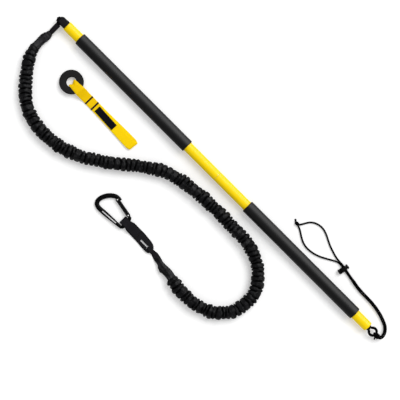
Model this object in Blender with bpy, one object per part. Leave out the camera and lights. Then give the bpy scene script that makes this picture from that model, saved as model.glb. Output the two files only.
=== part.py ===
"""Resistance band bar, laid out on a floor as it comes out of its bag.

A two-part steel lever bar with two foam grips has a cord loop in each end. A gathered
fabric sleeve over an elastic core is hitched to one loop and ends in a webbing strap with
a spring-gate carabiner. The other loop carries a thin wrist cord with a cord lock. A door
anchor, a foam ring on a webbing loop, lies unclipped beside the bar.

Metres, +Z up, X along the bar from the band end to the wrist end. The origin is on the
floor, in the middle of the area that the bar and the door anchor cover. Places in the
layout are measured from the middle of the bar, so everything hangs on one empty.
"""

import math

import bmesh
import bpy
from mathutils import Matrix, Vector

MM = 0.001

# Fits
TOUCH = 0.3 * MM            # gap between pieces that touch
RUN = 0.4 * MM              # clearance round a piece that turns or slides

# Bar
BAR_LENGTH = 1040 * MM
TUBE_RADIUS = 12.7 * MM
TUBE_WALL = 1.5 * MM
TUBE_LIP = 3.6 * MM         # radius of the rolled-in end
GRIP_WALL = 3.3 * MM
GRIP_LENGTH = 371 * MM
GRIP_EDGE = 2.6 * MM
GRIP_FLAT = 0.25 * MM       # how deep the foam is pressed flat by the floor
TUBE_END_BARE = 46 * MM     # bare tube outside each grip
STUD_RADIUS = 7 * MM
STUD_REACH = 30 * MM
COUPLER_LENGTH = 42 * MM    # of the stud's root and of the insert

# Cord loop, plug and washer in each end of the bar
LOOP_CORD = 2.6 * MM
LOOP_RADIUS = 7.6 * MM
LOOP_REACH = 15.7 * MM      # loop centre beyond the tube's end
BOSS_WALL = 1 * MM          # outside the cord's holes
BOSS_REACH = 5.5 * MM
PLUG_LENGTH = 14 * MM
WASHER_CLEAR = 1.2 * MM     # all round in the tube
WASHER_THICKNESS = 1.5 * MM
HEAD_SWELL = 1.26           # melted cord heads, times the cord's radius
HEAD_LENGTH = 3.4 * MM
LEG_SPREAD = LOOP_CORD * HEAD_SWELL + TOUCH     # each leg from the bar's axis
BOSS_RADIUS = LEG_SPREAD + LOOP_CORD + BOSS_WALL

# Hitches round the loops
HITCH_WALL = 1.5 * MM
BAND_HITCH_ARC = 33         # degrees to each side
WRIST_HITCH_ARC = 25
HITCH_BITE = 0.4 * MM       # how far the band's strap goes into its hitch
HITCH_LENGTH = 4.7 * MM     # of the wrist hitch, outside its ring
HITCH_GRIP = 2.6 * MM       # how far the strands go in
HITCH_INSIDE = LOOP_RADIUS + LOOP_CORD + RUN
HITCH_OUTSIDE = HITCH_INSIDE + HITCH_WALL
HITCH_REACH = HITCH_OUTSIDE + HITCH_LENGTH

# Band: elastic core in a gathered sleeve
RIB_RADIUS = 16.1 * MM
RIB_VALLEY = 13.3 * MM
RIB_PITCH = 11.6 * MM
END_LEVEL = 0.8 * MM
SLEEVE_BORE = 10 * MM
CORE_RADIUS = 4.5 * MM
CUFF_LENGTH = 62 * MM
CUFF_BORE = 5.6 * MM
CUFF_MOUTH = 11.6 * MM      # cuff radius where it meets the sleeve
CLAMP_RADIUS = 5.2 * MM
CLAMP_LENGTH = 12 * MM
CLAMP_SETBACK = 19 * MM     # from the sleeve's end to the clamp
CORE_CLEAR = 0.5 * MM
BAND_STRAP_WIDTH = 11.4 * MM
BAND_STRAP_THICKNESS = 2.4 * MM
BAND_STRAP_TONGUE = 8 * MM  # width inside the clamp
TAIL_EYE_WIDTH = 8 * MM

# Webbing strap with the carabiner
STRAP_WIDTH = 25 * MM
STRAP_EYE_WIDTH = 21.4 * MM
WEBBING = 2 * MM
STRAP_THICKNESS = 4.2 * MM
STRAP_Y = -238 * MM
STRAP_END_X = 14 * MM
SLIT_WIDTH = 5 * MM
SLIT_LENGTH = 27 * MM
CHOKE_LENGTH = 10 * MM
TACK_THICKNESS = 0.6 * MM

# Carabiner
STOCK = 9.5 * MM            # thickness of the body
SPINE_WIDTH = 7.8 * MM
BASKET_X = -77 * MM
BASKET_Y = -239 * MM
CARABINER_YAW = 184         # degrees, long axis from +X
GATE_WIDTH = 9.2 * MM
GATE_SHY = 0.35 * MM        # how far the gate's faces lie below the body's
TONGUE = 4 * MM             # thickness of the tongues in the gate's forks
GATE_PIN = 1.5 * MM
GATE_HINGE = (7.8 * MM, -18.2 * MM)
GATE_LATCH = (53.1 * MM, -29.8 * MM)

# Wrist cord and cord lock
CORD = 1.4 * MM
STRAND_OFFSET = 1.65 * MM
LOCK_RADIUS = 5.5 * MM
LOCK_LENGTH = 18.5 * MM
LOCK_CORD_HOLE = 15 * MM    # from the closed end
LOCK_WALL = 1.3 * MM
BUTTON_CAP = 5.8 * MM
BUTTON_HEIGHT = 2.4 * MM
BUTTON_TRAVEL = 3 * MM
LOCK_SPRING_SPACE = 5.6 * MM
LOCK_SPRING_CURLS = 3
LOCK_SPRING_WIRE = 0.3 * MM

# Door anchor
DISC_RADIUS = 30 * MM
DISC_HOLE = 12.8 * MM
DISC_THICKNESS = 12 * MM
DISC_X = 121.1 * MM         # from the band end's loop
DISC_Y = -89.2 * MM
ANCHOR_YAW = -1
ANCHOR_WEBBING = 1.6 * MM
ANCHOR_LENGTH = 219 * MM    # from the disc's centre to the far fold
ANCHOR_WIDTH = 25.6 * MM
ANCHOR_EYE_WIDTH = 20 * MM
EYE_START = 2.6 * MM        # strap's rise through the hole, from the disc's centre
SEWN_START = 57 * MM
SEWN_END = 85 * MM
LABEL_START = 92 * MM
LABEL_LENGTH = 60 * MM
LABEL_WIDTH = 16.5 * MM
LABEL_THICKNESS = 0.8 * MM
ANCHOR_TACKS = (61 * MM, 81 * MM)
TACK_WIDTH = 1.8 * MM

BAR_END = BAR_LENGTH / 2
GRIP_RADIUS = TUBE_RADIUS + TOUCH + GRIP_WALL
AXIS_Z = GRIP_RADIUS - GRIP_FLAT
LOOP_X = BAR_END + LOOP_REACH
BAR_Y = (-DISC_Y + DISC_RADIUS - GRIP_RADIUS) / 2   # puts the origin in the middle

# Route of the band, from the hitch at the bar to the hitch at the carabiner's strap, in
# millimetres from the middle of the bar. The last number is the height of the middle.
# The first point of each route is moved to its hitch, and the rest moves with it.
BAND_ROUTE = [
    (-535.7, -11, 16.05), (-535.7, -20, 15.2), (-536, -30, 12.4), (-536.5, -40, 9.8),
    (-537, -50, 8.5), (-537.5, -60, 8.2), (-538, -72, 9.2), (-538.3, -84, 12.2),
    (-538, -96, 15.4), (-535.5, -111, 16.4), (-527, -131, 16.3), (-511, -152, 16.2),
    (-492, -173, 16.2), (-465, -198, 16.2), (-432, -216, 16.2), (-395, -224, 16.2),
    (-355, -225, 16.2), (-311, -217, 16.2), (-268, -200, 16.2), (-226, -174, 16.2),
    (-187, -145, 16.2), (-147, -113, 16.2), (-106, -87, 16.2), (-65, -72, 16.2),
    (-22, -65, 16.2), (20, -61, 16.2), (62, -60, 16.2), (106, -61, 16.2),
    (149, -62, 16.2), (186, -68, 16.2), (219, -83, 16.2), (246, -106, 16.2),
    (264, -136, 16.2), (268, -171, 16.2), (259, -206, 16.2), (238, -233, 16.2),
    (208, -251, 16.2), (171, -260, 16.2), (135, -261, 16.3), (112, -258.5, 16.4),
    (97, -256, 15.2), (84, -254, 12), (71, -252.5, 9.2), (58, -250.5, 8),
    (48, -248.5, 6.6), (39, -246.5, 3.6), (31, -244.5, 1.6), (22, -243.3, 1.3),
]

# Route of the doubled wrist cord, from its hitch to the lock. The height is that of the
# middle between the two strands.
CORD_ROUTE = [
    (549.9, 0, 16.05), (553.2, 0, 16.05), (558.3, 1.6, 14.8), (561, 7, 11.8), (560.5, 15, 8.4),
    (556.5, 23, 5.4), (549, 30.5, 3.7), (538, 36, 3.3), (521, 42, 3.2), (500, 46.5, 3.2),
    (478, 48.5, 3.2), (456, 48.8, 3.2), (436, 50.2, 4.2), (418, 53.18, 5.4),
    (404, 55.64, 5.4), (391.1, 57.92, 5.4), (379.3, 60, 5.4), (367.5, 62.08, 5.4),
]
CORD_TWIST = 450            # degrees that the two strands turn round each other
CORD_STRAIGHT = 40 * MM     # untwisted at the lock, so that the lock can slide

# Routes of the two strands from the lock round the wrist loop to the knot.
UPPER_ROUTE = [
    (367.5, 62.08, 7.05), (357, 63.8, 5.2), (344, 66, 1.9), (330, 70, 1.5), (316, 75, 1.5),
    (303, 81, 1.5), (290, 87.5, 1.5), (276, 92, 1.5), (262, 92, 1.5), (249, 87.5, 1.5),
    (240, 80.5, 1.5), (234, 71.5, 1.5), (229.5, 63.5, 1.9), (225.3, 57.8, 3.6),
]
LOWER_ROUTE = [
    (367.5, 62.08, 3.75), (357, 60.5, 2.2), (344, 53.5, 1.5), (330, 45.5, 1.5), (315, 38, 1.5),
    (298, 32.8, 1.5), (280, 31, 1.5), (264, 34, 1.5), (250, 41, 1.5), (238.5, 48.5, 1.5),
    (230.5, 52.5, 1.9), (225.3, 54.2, 3.6),
]
LIFT_LEVEL = 6 * MM         # of a route at its hitch
LIFT_FADE = 60 * MM         # over which a route comes down from its hitch
KNOT = (219.5, 56.2, 4.2)
KNOT_SIZE = (11, 9, 7.6)
KNOT_TAIL = [(215, 57.5, 3.6), (211, 59.5, 2.2), (207.5, 62, 1.9)]

COLOURS = {
    "yellow_paint": ((0.87, 0.62, 0.01), 0.28, 0.0),
    "steel": ((0.55, 0.55, 0.55), 0.35, 1.0),
    "foam": ((0.03, 0.03, 0.032), 0.6, 0.0),
    "black_plastic": ((0.02, 0.02, 0.02), 0.45, 0.0),
    "black_cord": ((0.012, 0.012, 0.014), 0.85, 0.0),
    "sleeve_fabric": ((0.02, 0.02, 0.024), 0.75, 0.0),
    "elastic": ((0.35, 0.25, 0.12), 0.5, 0.0),
    "black_webbing": ((0.016, 0.016, 0.018), 0.8, 0.0),
    "black_anodised": ((0.015, 0.015, 0.017), 0.3, 0.6),
    "yellow_webbing": ((0.9, 0.62, 0.005), 0.75, 0.0),
    "label": ((0.01, 0.01, 0.013), 0.5, 0.0),
}


# Scene and materials

def clear_scene():
    for thing in list(bpy.data.objects):
        bpy.data.objects.remove(thing, do_unlink=True)


def material(name):
    made = bpy.data.materials.get(name)
    if made:
        return made
    colour, roughness, metallic = COLOURS[name]
    made = bpy.data.materials.new(name)
    made.use_nodes = True
    shader = made.node_tree.nodes["Principled BSDF"]
    shader.inputs["Base Color"].default_value = (*colour, 1)
    shader.inputs["Roughness"].default_value = roughness
    shader.inputs["Metallic"].default_value = metallic
    return made


def empty(name, location=(0, 0, 0), rotation=(0, 0, 0), parent=None):
    made = bpy.data.objects.new(name, None)
    made.empty_display_size = 10 * MM
    made.location = location
    made.rotation_euler = rotation
    made.parent = parent
    bpy.context.scene.collection.objects.link(made)
    return made


def add_object(name, data, colour, parent, location=(0, 0, 0), rotation=(0, 0, 0)):
    """Put a mesh or a curve in the scene, placed in its parent's frame."""
    made = bpy.data.objects.new(name, data)
    made.location = location
    made.rotation_euler = rotation
    made.parent = parent
    if colour:
        data.materials.append(material(colour))
    bpy.context.scene.collection.objects.link(made)
    return made


def to_mesh(name, bm, smooth=35):
    """Turn a bmesh into a mesh with its faces pointing out, smooth up to an angle."""
    bmesh.ops.recalc_face_normals(bm, faces=bm.faces[:])
    mesh = bpy.data.meshes.new(name)
    bm.to_mesh(mesh)
    bm.free()
    mesh.shade_smooth()
    mesh.set_sharp_from_angle(angle=math.radians(smooth))
    return mesh


def guide(thing):
    thing.hide_render = True
    thing.display_type = "WIRE"
    return thing


def combine(target, other, operation):
    """Cut another object from the target, or join it on, with an exact Boolean."""
    guide(other)
    modifier = target.modifiers.new(other.name, "BOOLEAN")
    modifier.operation = operation
    modifier.solver = "EXACT"
    modifier.object = other


def cut(target, other):
    combine(target, other, "DIFFERENCE")


def join(target, other):
    combine(target, other, "UNION")


# Shapes

def ring_of(bm, points):
    return [bm.verts.new(p) for p in points]


def bridge(bm, first, second):
    count = len(first)
    for i in range(count):
        j = (i + 1) % count
        bm.faces.new((first[i], first[j], second[j], second[i]))


def circle(radius, sides, turn=0.5):
    """Points of a circle, by default with flat facets at its top, bottom and sides."""
    step = 2 * math.pi / sides
    return [(radius * math.cos((i + turn) * step), radius * math.sin((i + turn) * step))
            for i in range(sides)]


def oval(width, height, sides=16, square=2.6):
    """Points of a rounded oval of a given width and height."""
    points = []
    for i in range(sides):
        angle = 2 * math.pi * (i + 0.5) / sides
        c, s = math.cos(angle), math.sin(angle)
        points.append((width / 2 * math.copysign(abs(c) ** (2 / square), c),
                       height / 2 * math.copysign(abs(s) ** (2 / square), s)))
    return points


def rectangle(width, height):
    w, h = width / 2, height / 2
    return [(w, -h), (w, h), (-w, h), (-w, -h)]


def turned(profile, sides, hollow=False):
    """Turn (x, radius) points about X. A hollow profile runs in a closed loop."""
    bm = bmesh.new()
    rings = []
    for x, radius in profile:
        if radius == 0:
            rings.append([bm.verts.new((x, 0, 0))])
        else:
            rings.append(ring_of(bm, [(x, y, z) for y, z in circle(radius, sides, 0)]))
    pairs = list(zip(rings, rings[1:]))
    if hollow:
        pairs.append((rings[-1], rings[0]))
    for first, second in pairs:
        if len(first) == 1 or len(second) == 1:
            tip, ring = (first[0], second) if len(first) == 1 else (second[0], first)
            for i in range(sides):
                bm.faces.new((tip, ring[i], ring[(i + 1) % sides]))
        else:
            bridge(bm, first, second)
    return bm


def lofted(sections):
    """Skin a row of rings, each a list of 3-D points, and close both ends."""
    bm = bmesh.new()
    rings = [ring_of(bm, points) for points in sections]
    for first, second in zip(rings, rings[1:]):
        bridge(bm, first, second)
    bm.faces.new(rings[0])
    bm.faces.new(rings[-1])
    return bm


def extruded(outlines, depth, width_at=None):
    """Extrude outlines in X and Z along Y. The first is the outside, the rest are holes."""
    curve = bpy.data.curves.new("outline", "CURVE")
    curve.dimensions = "2D"
    curve.fill_mode = "BOTH"
    for outline in outlines:
        spline = curve.splines.new("POLY")
        spline.points.add(len(outline) - 1)
        for point, (x, z) in zip(spline.points, outline):
            point.co = (x, z, 0, 1)
        spline.use_cyclic_u = True
    flat = bpy.data.objects.new("outline", curve)
    bpy.context.scene.collection.objects.link(flat)
    mesh = bpy.data.meshes.new_from_object(flat.evaluated_get(
        bpy.context.evaluated_depsgraph_get()))
    bpy.data.objects.remove(flat, do_unlink=True)
    bpy.data.curves.remove(curve)
    bm = bmesh.new()
    bm.from_mesh(mesh)
    bpy.data.meshes.remove(mesh)
    bmesh.ops.remove_doubles(bm, verts=bm.verts[:], dist=0.00001)
    near = bm.faces[:]
    made = bmesh.ops.extrude_face_region(bm, geom=near, use_keep_orig=True)
    far = {v for v in made["geom"] if isinstance(v, bmesh.types.BMVert)}
    for vert in bm.verts:
        x, z = vert.co.x, vert.co.y
        half = (width_at(x) if width_at else depth) / 2
        vert.co = Vector((x, half if vert in far else -half, z))
    return bm


def cylinder(name, radius, start, end, parent, sides=20):
    """A round cutter or pin between two points."""
    axis = Vector(end) - Vector(start)
    bm = bmesh.new()
    bmesh.ops.create_cone(bm, cap_ends=True, segments=sides, radius1=radius, radius2=radius,
                          depth=axis.length)
    turn = axis.to_track_quat("Z", "Y").to_matrix().to_4x4()
    middle = (Vector(start) + Vector(end)) / 2
    bmesh.ops.transform(bm, matrix=Matrix.Translation(middle) @ turn, verts=bm.verts[:])
    return add_object(name, to_mesh(name, bm), None, parent)


def block(name, low, high, parent, turn=None):
    """A box between two corners, turned about Z in its parent's frame if asked."""
    size = [b - a for a, b in zip(low, high)]
    middle = [(a + b) / 2 for a, b in zip(low, high)]
    bm = bmesh.new()
    bmesh.ops.create_cube(bm, size=1, matrix=Matrix.LocRotScale(middle, None, size))
    if turn:
        about, angle = turn
        matrix = Matrix.Translation(about) @ Matrix.Rotation(angle, 4, "Z")
        bmesh.ops.transform(bm, matrix=matrix, verts=bm.verts[:])
    return add_object(name, to_mesh(name, bm), None, parent)


# Routes

class Route:
    """A smooth curve through chosen points, measured along its length."""

    def __init__(self, points, unit=MM):
        chosen = [Vector(p) * unit for p in points]
        ends = [chosen[0] * 2 - chosen[1]] + chosen + [chosen[-1] * 2 - chosen[-2]]
        self.points = [chosen[0]]
        for p0, p1, p2, p3 in zip(ends, ends[1:], ends[2:], ends[3:]):
            for k in range(1, 13):
                t = k / 12
                self.points.append(0.5 * (
                    2 * p1 + (p2 - p0) * t + (2 * p0 - 5 * p1 + 4 * p2 - p3) * t ** 2
                    + (3 * p1 - p0 - 3 * p2 + p3) * t ** 3))
        self.marks = [0.0]
        for a, b in zip(self.points, self.points[1:]):
            self.marks.append(self.marks[-1] + (b - a).length)
        self.length = self.marks[-1]

    def at(self, s):
        """The point at a distance along the curve, which runs on straight at its ends."""
        if s <= 0:
            return self.points[0] + (self.points[0] - self.points[1]).normalized() * -s
        if s >= self.length:
            way = (self.points[-1] - self.points[-2]).normalized()
            return self.points[-1] + way * (s - self.length)
        low, high = 0, len(self.marks) - 1
        while high - low > 1:
            middle = (low + high) // 2
            if self.marks[middle] <= s:
                low = middle
            else:
                high = middle
        share = (s - self.marks[low]) / (self.marks[high] - self.marks[low])
        return self.points[low].lerp(self.points[high], share)

    def frame(self, s):
        """Point, sideways and upwards directions square to the curve."""
        way = (self.at(s + 1 * MM) - self.at(s - 1 * MM)).normalized()
        side = way.cross(Vector((0, 0, 1))).normalized()
        return self.at(s), side, side.cross(way)

    def section(self, s, outline):
        point, side, up = self.frame(s)
        return [point + side * a + up * b for a, b in outline]


def steps(start, end, spacing):
    count = max(1, round((end - start) / spacing))
    return [start + (end - start) * i / count for i in range(count + 1)]


def between(table, s):
    """Read a row of numbers at s from a table of (s, numbers...), blended smoothly."""
    if s <= table[0][0]:
        return table[0][1:]
    for low, high in zip(table, table[1:]):
        if s <= high[0]:
            t = (s - low[0]) / (high[0] - low[0])
            t = t * t * (3 - 2 * t)
            return [a + (b - a) * t for a, b in zip(low[1:], high[1:])]
    return table[-1][1:]


def tube_curve(name, points, radius, colour, parent, resolution=2, swell=None):
    """A cord as a curve with a round bevel and filled ends."""
    curve = bpy.data.curves.new(name, "CURVE")
    curve.dimensions = "3D"
    curve.twist_mode = "Z_UP"
    curve.bevel_depth = radius
    curve.bevel_resolution = resolution
    curve.use_fill_caps = True
    spline = curve.splines.new("POLY")
    spline.points.add(len(points) - 1)
    for i, (place, point) in enumerate(zip(points, spline.points)):
        point.co = (*place, 1)
        point.radius = swell[i] if swell else 1
    return add_object(name, curve, colour, parent)


def tube_mesh(name, points, radius, resolution=2, swell=None):
    """The same tube as a mesh, for a solid that is cut or joined afterwards."""
    made = tube_curve(name + "_line", points, radius, None, None, resolution, swell)
    mesh = bpy.data.meshes.new_from_object(made.evaluated_get(
        bpy.context.evaluated_depsgraph_get()))
    mesh.name = name
    curve = made.data
    bpy.data.objects.remove(made, do_unlink=True)
    bpy.data.curves.remove(curve)
    bm = bmesh.new()
    bm.from_mesh(mesh)
    bpy.data.meshes.remove(mesh)
    bmesh.ops.remove_doubles(bm, verts=bm.verts[:], dist=0.00001)
    return to_mesh(name, bm, 60)


# Bar

def rounded_end(x, radius, edge, corners=3):
    """Points of an outer corner, from the face at x to the full radius."""
    points = []
    for i in range(corners + 1):
        angle = math.pi / 2 * i / corners
        points.append((x - edge + edge * math.cos(angle), radius - edge + edge * math.sin(angle)))
    return points


def bar_tube(name, parent, turn):
    """Half of the bar: a tube with a rolled-in end at +X and a square end at the middle."""
    inner = TUBE_RADIUS - TUBE_WALL
    outside = [(BAR_END - TUBE_LIP + TUBE_LIP * math.sin(a),
                TUBE_RADIUS - TUBE_LIP + TUBE_LIP * math.cos(a))
               for a in [math.radians(d) for d in (0, 22, 45, 68, 90)]]
    lip_inside = BOSS_RADIUS + TOUCH
    profile = [(TOUCH / 2, inner), (TOUCH / 2, TUBE_RADIUS)] + outside
    profile += [(BAR_END, lip_inside), (BAR_END - TUBE_WALL, lip_inside),
                (BAR_END - TUBE_LIP, inner)]
    mesh = to_mesh(name, turned(profile, 32, hollow=True))
    return add_object(name, mesh, "yellow_paint", parent, (0, 0, AXIS_Z), (0, 0, turn))


def foam_grip(name, parent, side):
    """A foam sleeve on the tube, pressed flat where it rests on the floor."""
    start = BAR_END - TUBE_END_BARE - GRIP_LENGTH
    middle = start + GRIP_LENGTH / 2
    half = GRIP_LENGTH / 2
    bore = TUBE_RADIUS + TOUCH
    right = rounded_end(half, GRIP_RADIUS, min(GRIP_EDGE, 0.8 * GRIP_WALL))
    left = [(-x, radius) for x, radius in reversed(right)]
    profile = [(half, bore)] + right + left + [(-half, bore)]
    bm = turned(profile, 36, hollow=True)
    for vert in bm.verts:
        vert.co.z = max(vert.co.z, -AXIS_Z)
    return add_object(name, to_mesh(name, bm), "foam", parent, (side * middle, 0, AXIS_Z))


def coupler_stud(parent):
    """Steel root fixed in the band-end tube, with the stud that screws into the insert."""
    root = TUBE_RADIUS - TUBE_WALL - TOUCH
    chamfer = 1.2 * MM
    profile = [(-COUPLER_LENGTH, 0), (-COUPLER_LENGTH, root), (0, root), (0, STUD_RADIUS),
               (STUD_REACH - chamfer, STUD_RADIUS), (STUD_REACH, STUD_RADIUS - chamfer),
               (STUD_REACH, 0)]
    mesh = to_mesh("coupler_stud", turned(profile, 28))
    return add_object("coupler_stud", mesh, "steel", parent, (0, 0, AXIS_Z))


def coupler_insert(parent):
    """Threaded insert fixed in the wrist-end tube."""
    outer = TUBE_RADIUS - TUBE_WALL - TOUCH
    bore = STUD_RADIUS + TOUCH
    profile = [(TOUCH, bore), (TOUCH, outer), (COUPLER_LENGTH, outer), (COUPLER_LENGTH, bore)]
    mesh = to_mesh("coupler_insert", turned(profile, 28, hollow=True))
    return add_object("coupler_insert", mesh, "steel", parent, (0, 0, AXIS_Z))


def leg_holes(target, parent, start, end):
    for y in (-LEG_SPREAD, LEG_SPREAD):
        hole = cylinder(f"{target.name}_hole_{'a' if y < 0 else 'b'}", LOOP_CORD + TOUCH,
                        (start, y, 0), (end, y, 0), parent, 16)
        cut(target, hole)


def end_fittings(end, parent, turn):
    """Plug, washer and cord loop of one end, in a frame at the tube's end, +X outwards."""
    frame = empty(f"{end}_end", (BAR_END * math.cos(turn), 0, AXIS_Z), (0, 0, turn), parent)
    inside = TUBE_RADIUS - TUBE_WALL - TOUCH
    back = -TUBE_LIP - TOUCH - PLUG_LENGTH
    plug_profile = [(back, 0), (back, inside), (-TUBE_LIP - TOUCH, inside),
                    (-TUBE_WALL - TOUCH, BOSS_RADIUS), (BOSS_REACH - 1 * MM, BOSS_RADIUS),
                    (BOSS_REACH, BOSS_RADIUS - 1 * MM), (BOSS_REACH, 0)]
    plug = add_object(f"{end}_end_plug", to_mesh(f"{end}_end_plug", turned(plug_profile, 28)),
                      "black_plastic", frame)
    leg_holes(plug, frame, back - 1 * MM, BOSS_REACH + 1 * MM)

    washer_back = back - TOUCH - WASHER_THICKNESS
    washer_radius = TUBE_RADIUS - TUBE_WALL - WASHER_CLEAR
    washer_profile = [(washer_back, 0), (washer_back, washer_radius),
                      (back - TOUCH, washer_radius), (back - TOUCH, 0)]
    washer = add_object(f"{end}_loop_washer",
                        to_mesh(f"{end}_loop_washer", turned(washer_profile, 24)),
                        "steel", frame)
    leg_holes(washer, frame, washer_back - 1 * MM, back + 1 * MM)

    head = washer_back - TOUCH
    leg = [(head - HEAD_LENGTH, LEG_SPREAD), (head, LEG_SPREAD), (head + 0.2 * MM, LEG_SPREAD),
           (-2 * MM, LEG_SPREAD), (BOSS_REACH + 0.2 * MM, LEG_SPREAD),
           (LOOP_REACH - LOOP_RADIUS + 0.2 * MM, LEG_SPREAD + 0.7 * MM)]
    arc = []
    for i in range(13):
        angle = math.radians(128 - 256 * i / 12)
        arc.append((LOOP_REACH + LOOP_RADIUS * math.cos(angle), LOOP_RADIUS * math.sin(angle)))
    path = leg + arc + [(x, -y) for x, y in reversed(leg)]
    swell = [1.0] * len(path)
    for i in (0, 1, -1, -2):
        swell[i] = HEAD_SWELL
    tube_curve(f"{end}_end_loop", [(x, y, 0) for x, y in path], LOOP_CORD, "black_cord", frame,
               2, swell)


def hitch_collar(name, parent, centre_angle, half_arc):
    """A cut-open ring of webbing or cord round the loop, made about the loop's centre."""
    inner = LOOP_CORD + RUN
    outer = inner + HITCH_WALL
    bm = bmesh.new()
    rings = []
    count = 8
    for i in range(count + 1):
        angle = math.radians(centre_angle - half_arc + 2 * half_arc * i / count)
        out = Vector((math.cos(angle), math.sin(angle), 0))
        middle = out * LOOP_RADIUS
        rings.append([ring_of(bm, [middle + out * a + Vector((0, 0, b))
                                   for a, b in circle(radius, 12)])
                      for radius in (outer, inner)])
    for first, second in zip(rings, rings[1:]):
        bridge(bm, first[0], second[0])
        bridge(bm, first[1], second[1])
    for outside, inside in (rings[0], rings[-1]):
        bridge(bm, outside, inside)
    return add_object(name, to_mesh(name, bm), None, parent)


# Band

def from_hitch(points, height):
    """A route whose start is at a height, and that comes down to its own heights from there."""
    first = Vector(points[0])
    made = []
    for point in points:
        away = (Vector(point) - first).length * MM
        share = min(1, max(0, (LIFT_FADE - away) / (LIFT_FADE - LIFT_LEVEL)))
        made.append((point[0], point[1], point[2] + (height / MM - first.z) * share))
    return made


def route_holder(name, pivot, points, place):
    """An empty that carries a route's own layout and puts its first point at a place."""
    x, y = points[0][:2]
    own = (place[0] - x * MM, place[1] - y * MM, -pivot.location.z)
    return empty(name, own, parent=pivot)


def band_pieces(pivot):
    route = Route(from_hitch(BAND_ROUTE, AXIS_Z))
    sleeve_start = 92 * MM
    sleeve_end = route.length - 84 * MM
    holder = route_holder("band_layout", pivot, BAND_ROUTE, (0, -HITCH_INSIDE - HITCH_BITE))

    half_pitch = RIB_PITCH / 2
    ribs = steps(sleeve_start, sleeve_end, half_pitch)
    if len(ribs) % 2 == 0:
        ribs = steps(sleeve_start, sleeve_end, (sleeve_end - sleeve_start) / len(ribs))
    swell = [RIB_VALLEY / RIB_RADIUS if i % 2 == 0 else 1 for i in range(len(ribs))]
    # a short level stretch squares each end to the route
    ribs = [ribs[0], ribs[0] + END_LEVEL] + ribs[1:-1] + [ribs[-1] - END_LEVEL, ribs[-1]]
    swell = [swell[0]] + swell + [swell[-1]]
    mesh = tube_mesh("band_sleeve", [route.at(s) for s in ribs], RIB_RADIUS, 2, swell)
    sleeve = add_object("band_sleeve", mesh, "sleeve_fabric", holder)
    bore_steps = steps(sleeve_start - 4 * MM, sleeve_end + 4 * MM, 27 * MM)
    bore = add_object("sleeve_bore", tube_mesh(
        "sleeve_bore", [route.at(s) for s in bore_steps], SLEEVE_BORE, 1), None, holder)
    cut(sleeve, bore)

    core_start = sleeve_start - CLAMP_SETBACK - CLAMP_LENGTH + 4 * MM
    core_end = sleeve_end + CLAMP_SETBACK + CLAMP_LENGTH - 4 * MM
    fine = 30 * MM
    stations = steps(core_start, core_start + fine, 7.5 * MM)[:-1]
    stations += steps(core_start + fine, core_end - fine, 24 * MM)
    stations += steps(core_end - fine, core_end, 7.5 * MM)[1:]
    tube_curve("band_core", [route.at(s) for s in stations], CORE_RADIUS, "elastic", holder)

    for end, mouth, way in (("head", sleeve_start, -1), ("tail", sleeve_end, 1)):
        cuff_pieces(end, route, mouth, way, holder)

    head_strap(route, sleeve_start, holder, pivot)
    tail_strap(route, sleeve_end, holder)
    print(f"band route {route.length:.4f} m, sleeve {sleeve_end - sleeve_start:.4f} m, "
          f"{len(ribs) // 2} ribs")
    return holder


def cuff_pieces(end, route, mouth, way, holder):
    """Fabric cuff that closes the sleeve, and the clamp that holds the core in it."""
    def at(distance):
        return mouth + way * distance

    bulge = 18.5 * MM if end == "head" else 22 * MM
    table = [
        (0, 2 * CUFF_MOUTH, 2 * CUFF_MOUTH), (7 * MM, 17 * MM, 17.5 * MM),
        (20 * MM, 15.6 * MM, 14.6 * MM), (32 * MM, 16.2 * MM, 13.8 * MM),
        (42 * MM, bulge, 12.6 * MM), (50 * MM, bulge, 10.4 * MM),
        (57 * MM, 15.4 * MM, 7.2 * MM), (CUFF_LENGTH, 14 * MM, 5.4 * MM),
    ]
    rings = []
    for d in steps(TOUCH, CUFF_LENGTH, 5 * MM):
        width, height = between(table, d)
        rings.append(route.section(at(d), oval(width, height)))
    cuff = add_object(f"band_{end}_cuff", to_mesh(f"band_{end}_cuff", lofted(rings), 60),
                      "sleeve_fabric", holder)
    clamp_far = CLAMP_SETBACK + CLAMP_LENGTH
    bore = lofted([route.section(at(d), circle(CUFF_BORE, 12))
                   for d in steps(-1 * MM, clamp_far + 0.5 * MM, 5 * MM)])
    cut(cuff, add_object(f"{end}_cuff_bore", to_mesh(f"{end}_cuff_bore", bore), None, holder))
    slot_outline = rectangle(BAND_STRAP_WIDTH + 2 * TOUCH, BAND_STRAP_THICKNESS + 2 * TOUCH)
    slot = lofted([route.section(at(d), slot_outline)
                   for d in steps(clamp_far - 1 * MM, CUFF_LENGTH + 2 * MM, 4 * MM)])
    cut(cuff, add_object(f"{end}_cuff_slot", to_mesh(f"{end}_cuff_slot", slot), None, holder))

    body = lofted([route.section(at(d), circle(CLAMP_RADIUS, 12))
                   for d in steps(CLAMP_SETBACK, clamp_far, 4 * MM)])
    clamp = add_object(f"{end}_core_clamp", to_mesh(f"{end}_core_clamp", body), "steel", holder)
    socket = lofted([route.section(at(d), circle(CORE_RADIUS + CORE_CLEAR, 12))
                     for d in steps(CLAMP_SETBACK - 1 * MM, clamp_far - 3.6 * MM, 4 * MM)])
    cut(clamp, add_object(f"{end}_clamp_socket", to_mesh(f"{end}_clamp_socket", socket), None,
                          holder))
    tongue = rectangle(BAND_STRAP_TONGUE + 2 * TOUCH, BAND_STRAP_THICKNESS + 2 * TOUCH)
    mouth_cut = lofted([route.section(at(d), tongue)
                        for d in (clamp_far - 2.4 * MM, clamp_far + 1 * MM)])
    cut(clamp, add_object(f"{end}_clamp_slot", to_mesh(f"{end}_clamp_slot", mouth_cut), None,
                          holder))


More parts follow.
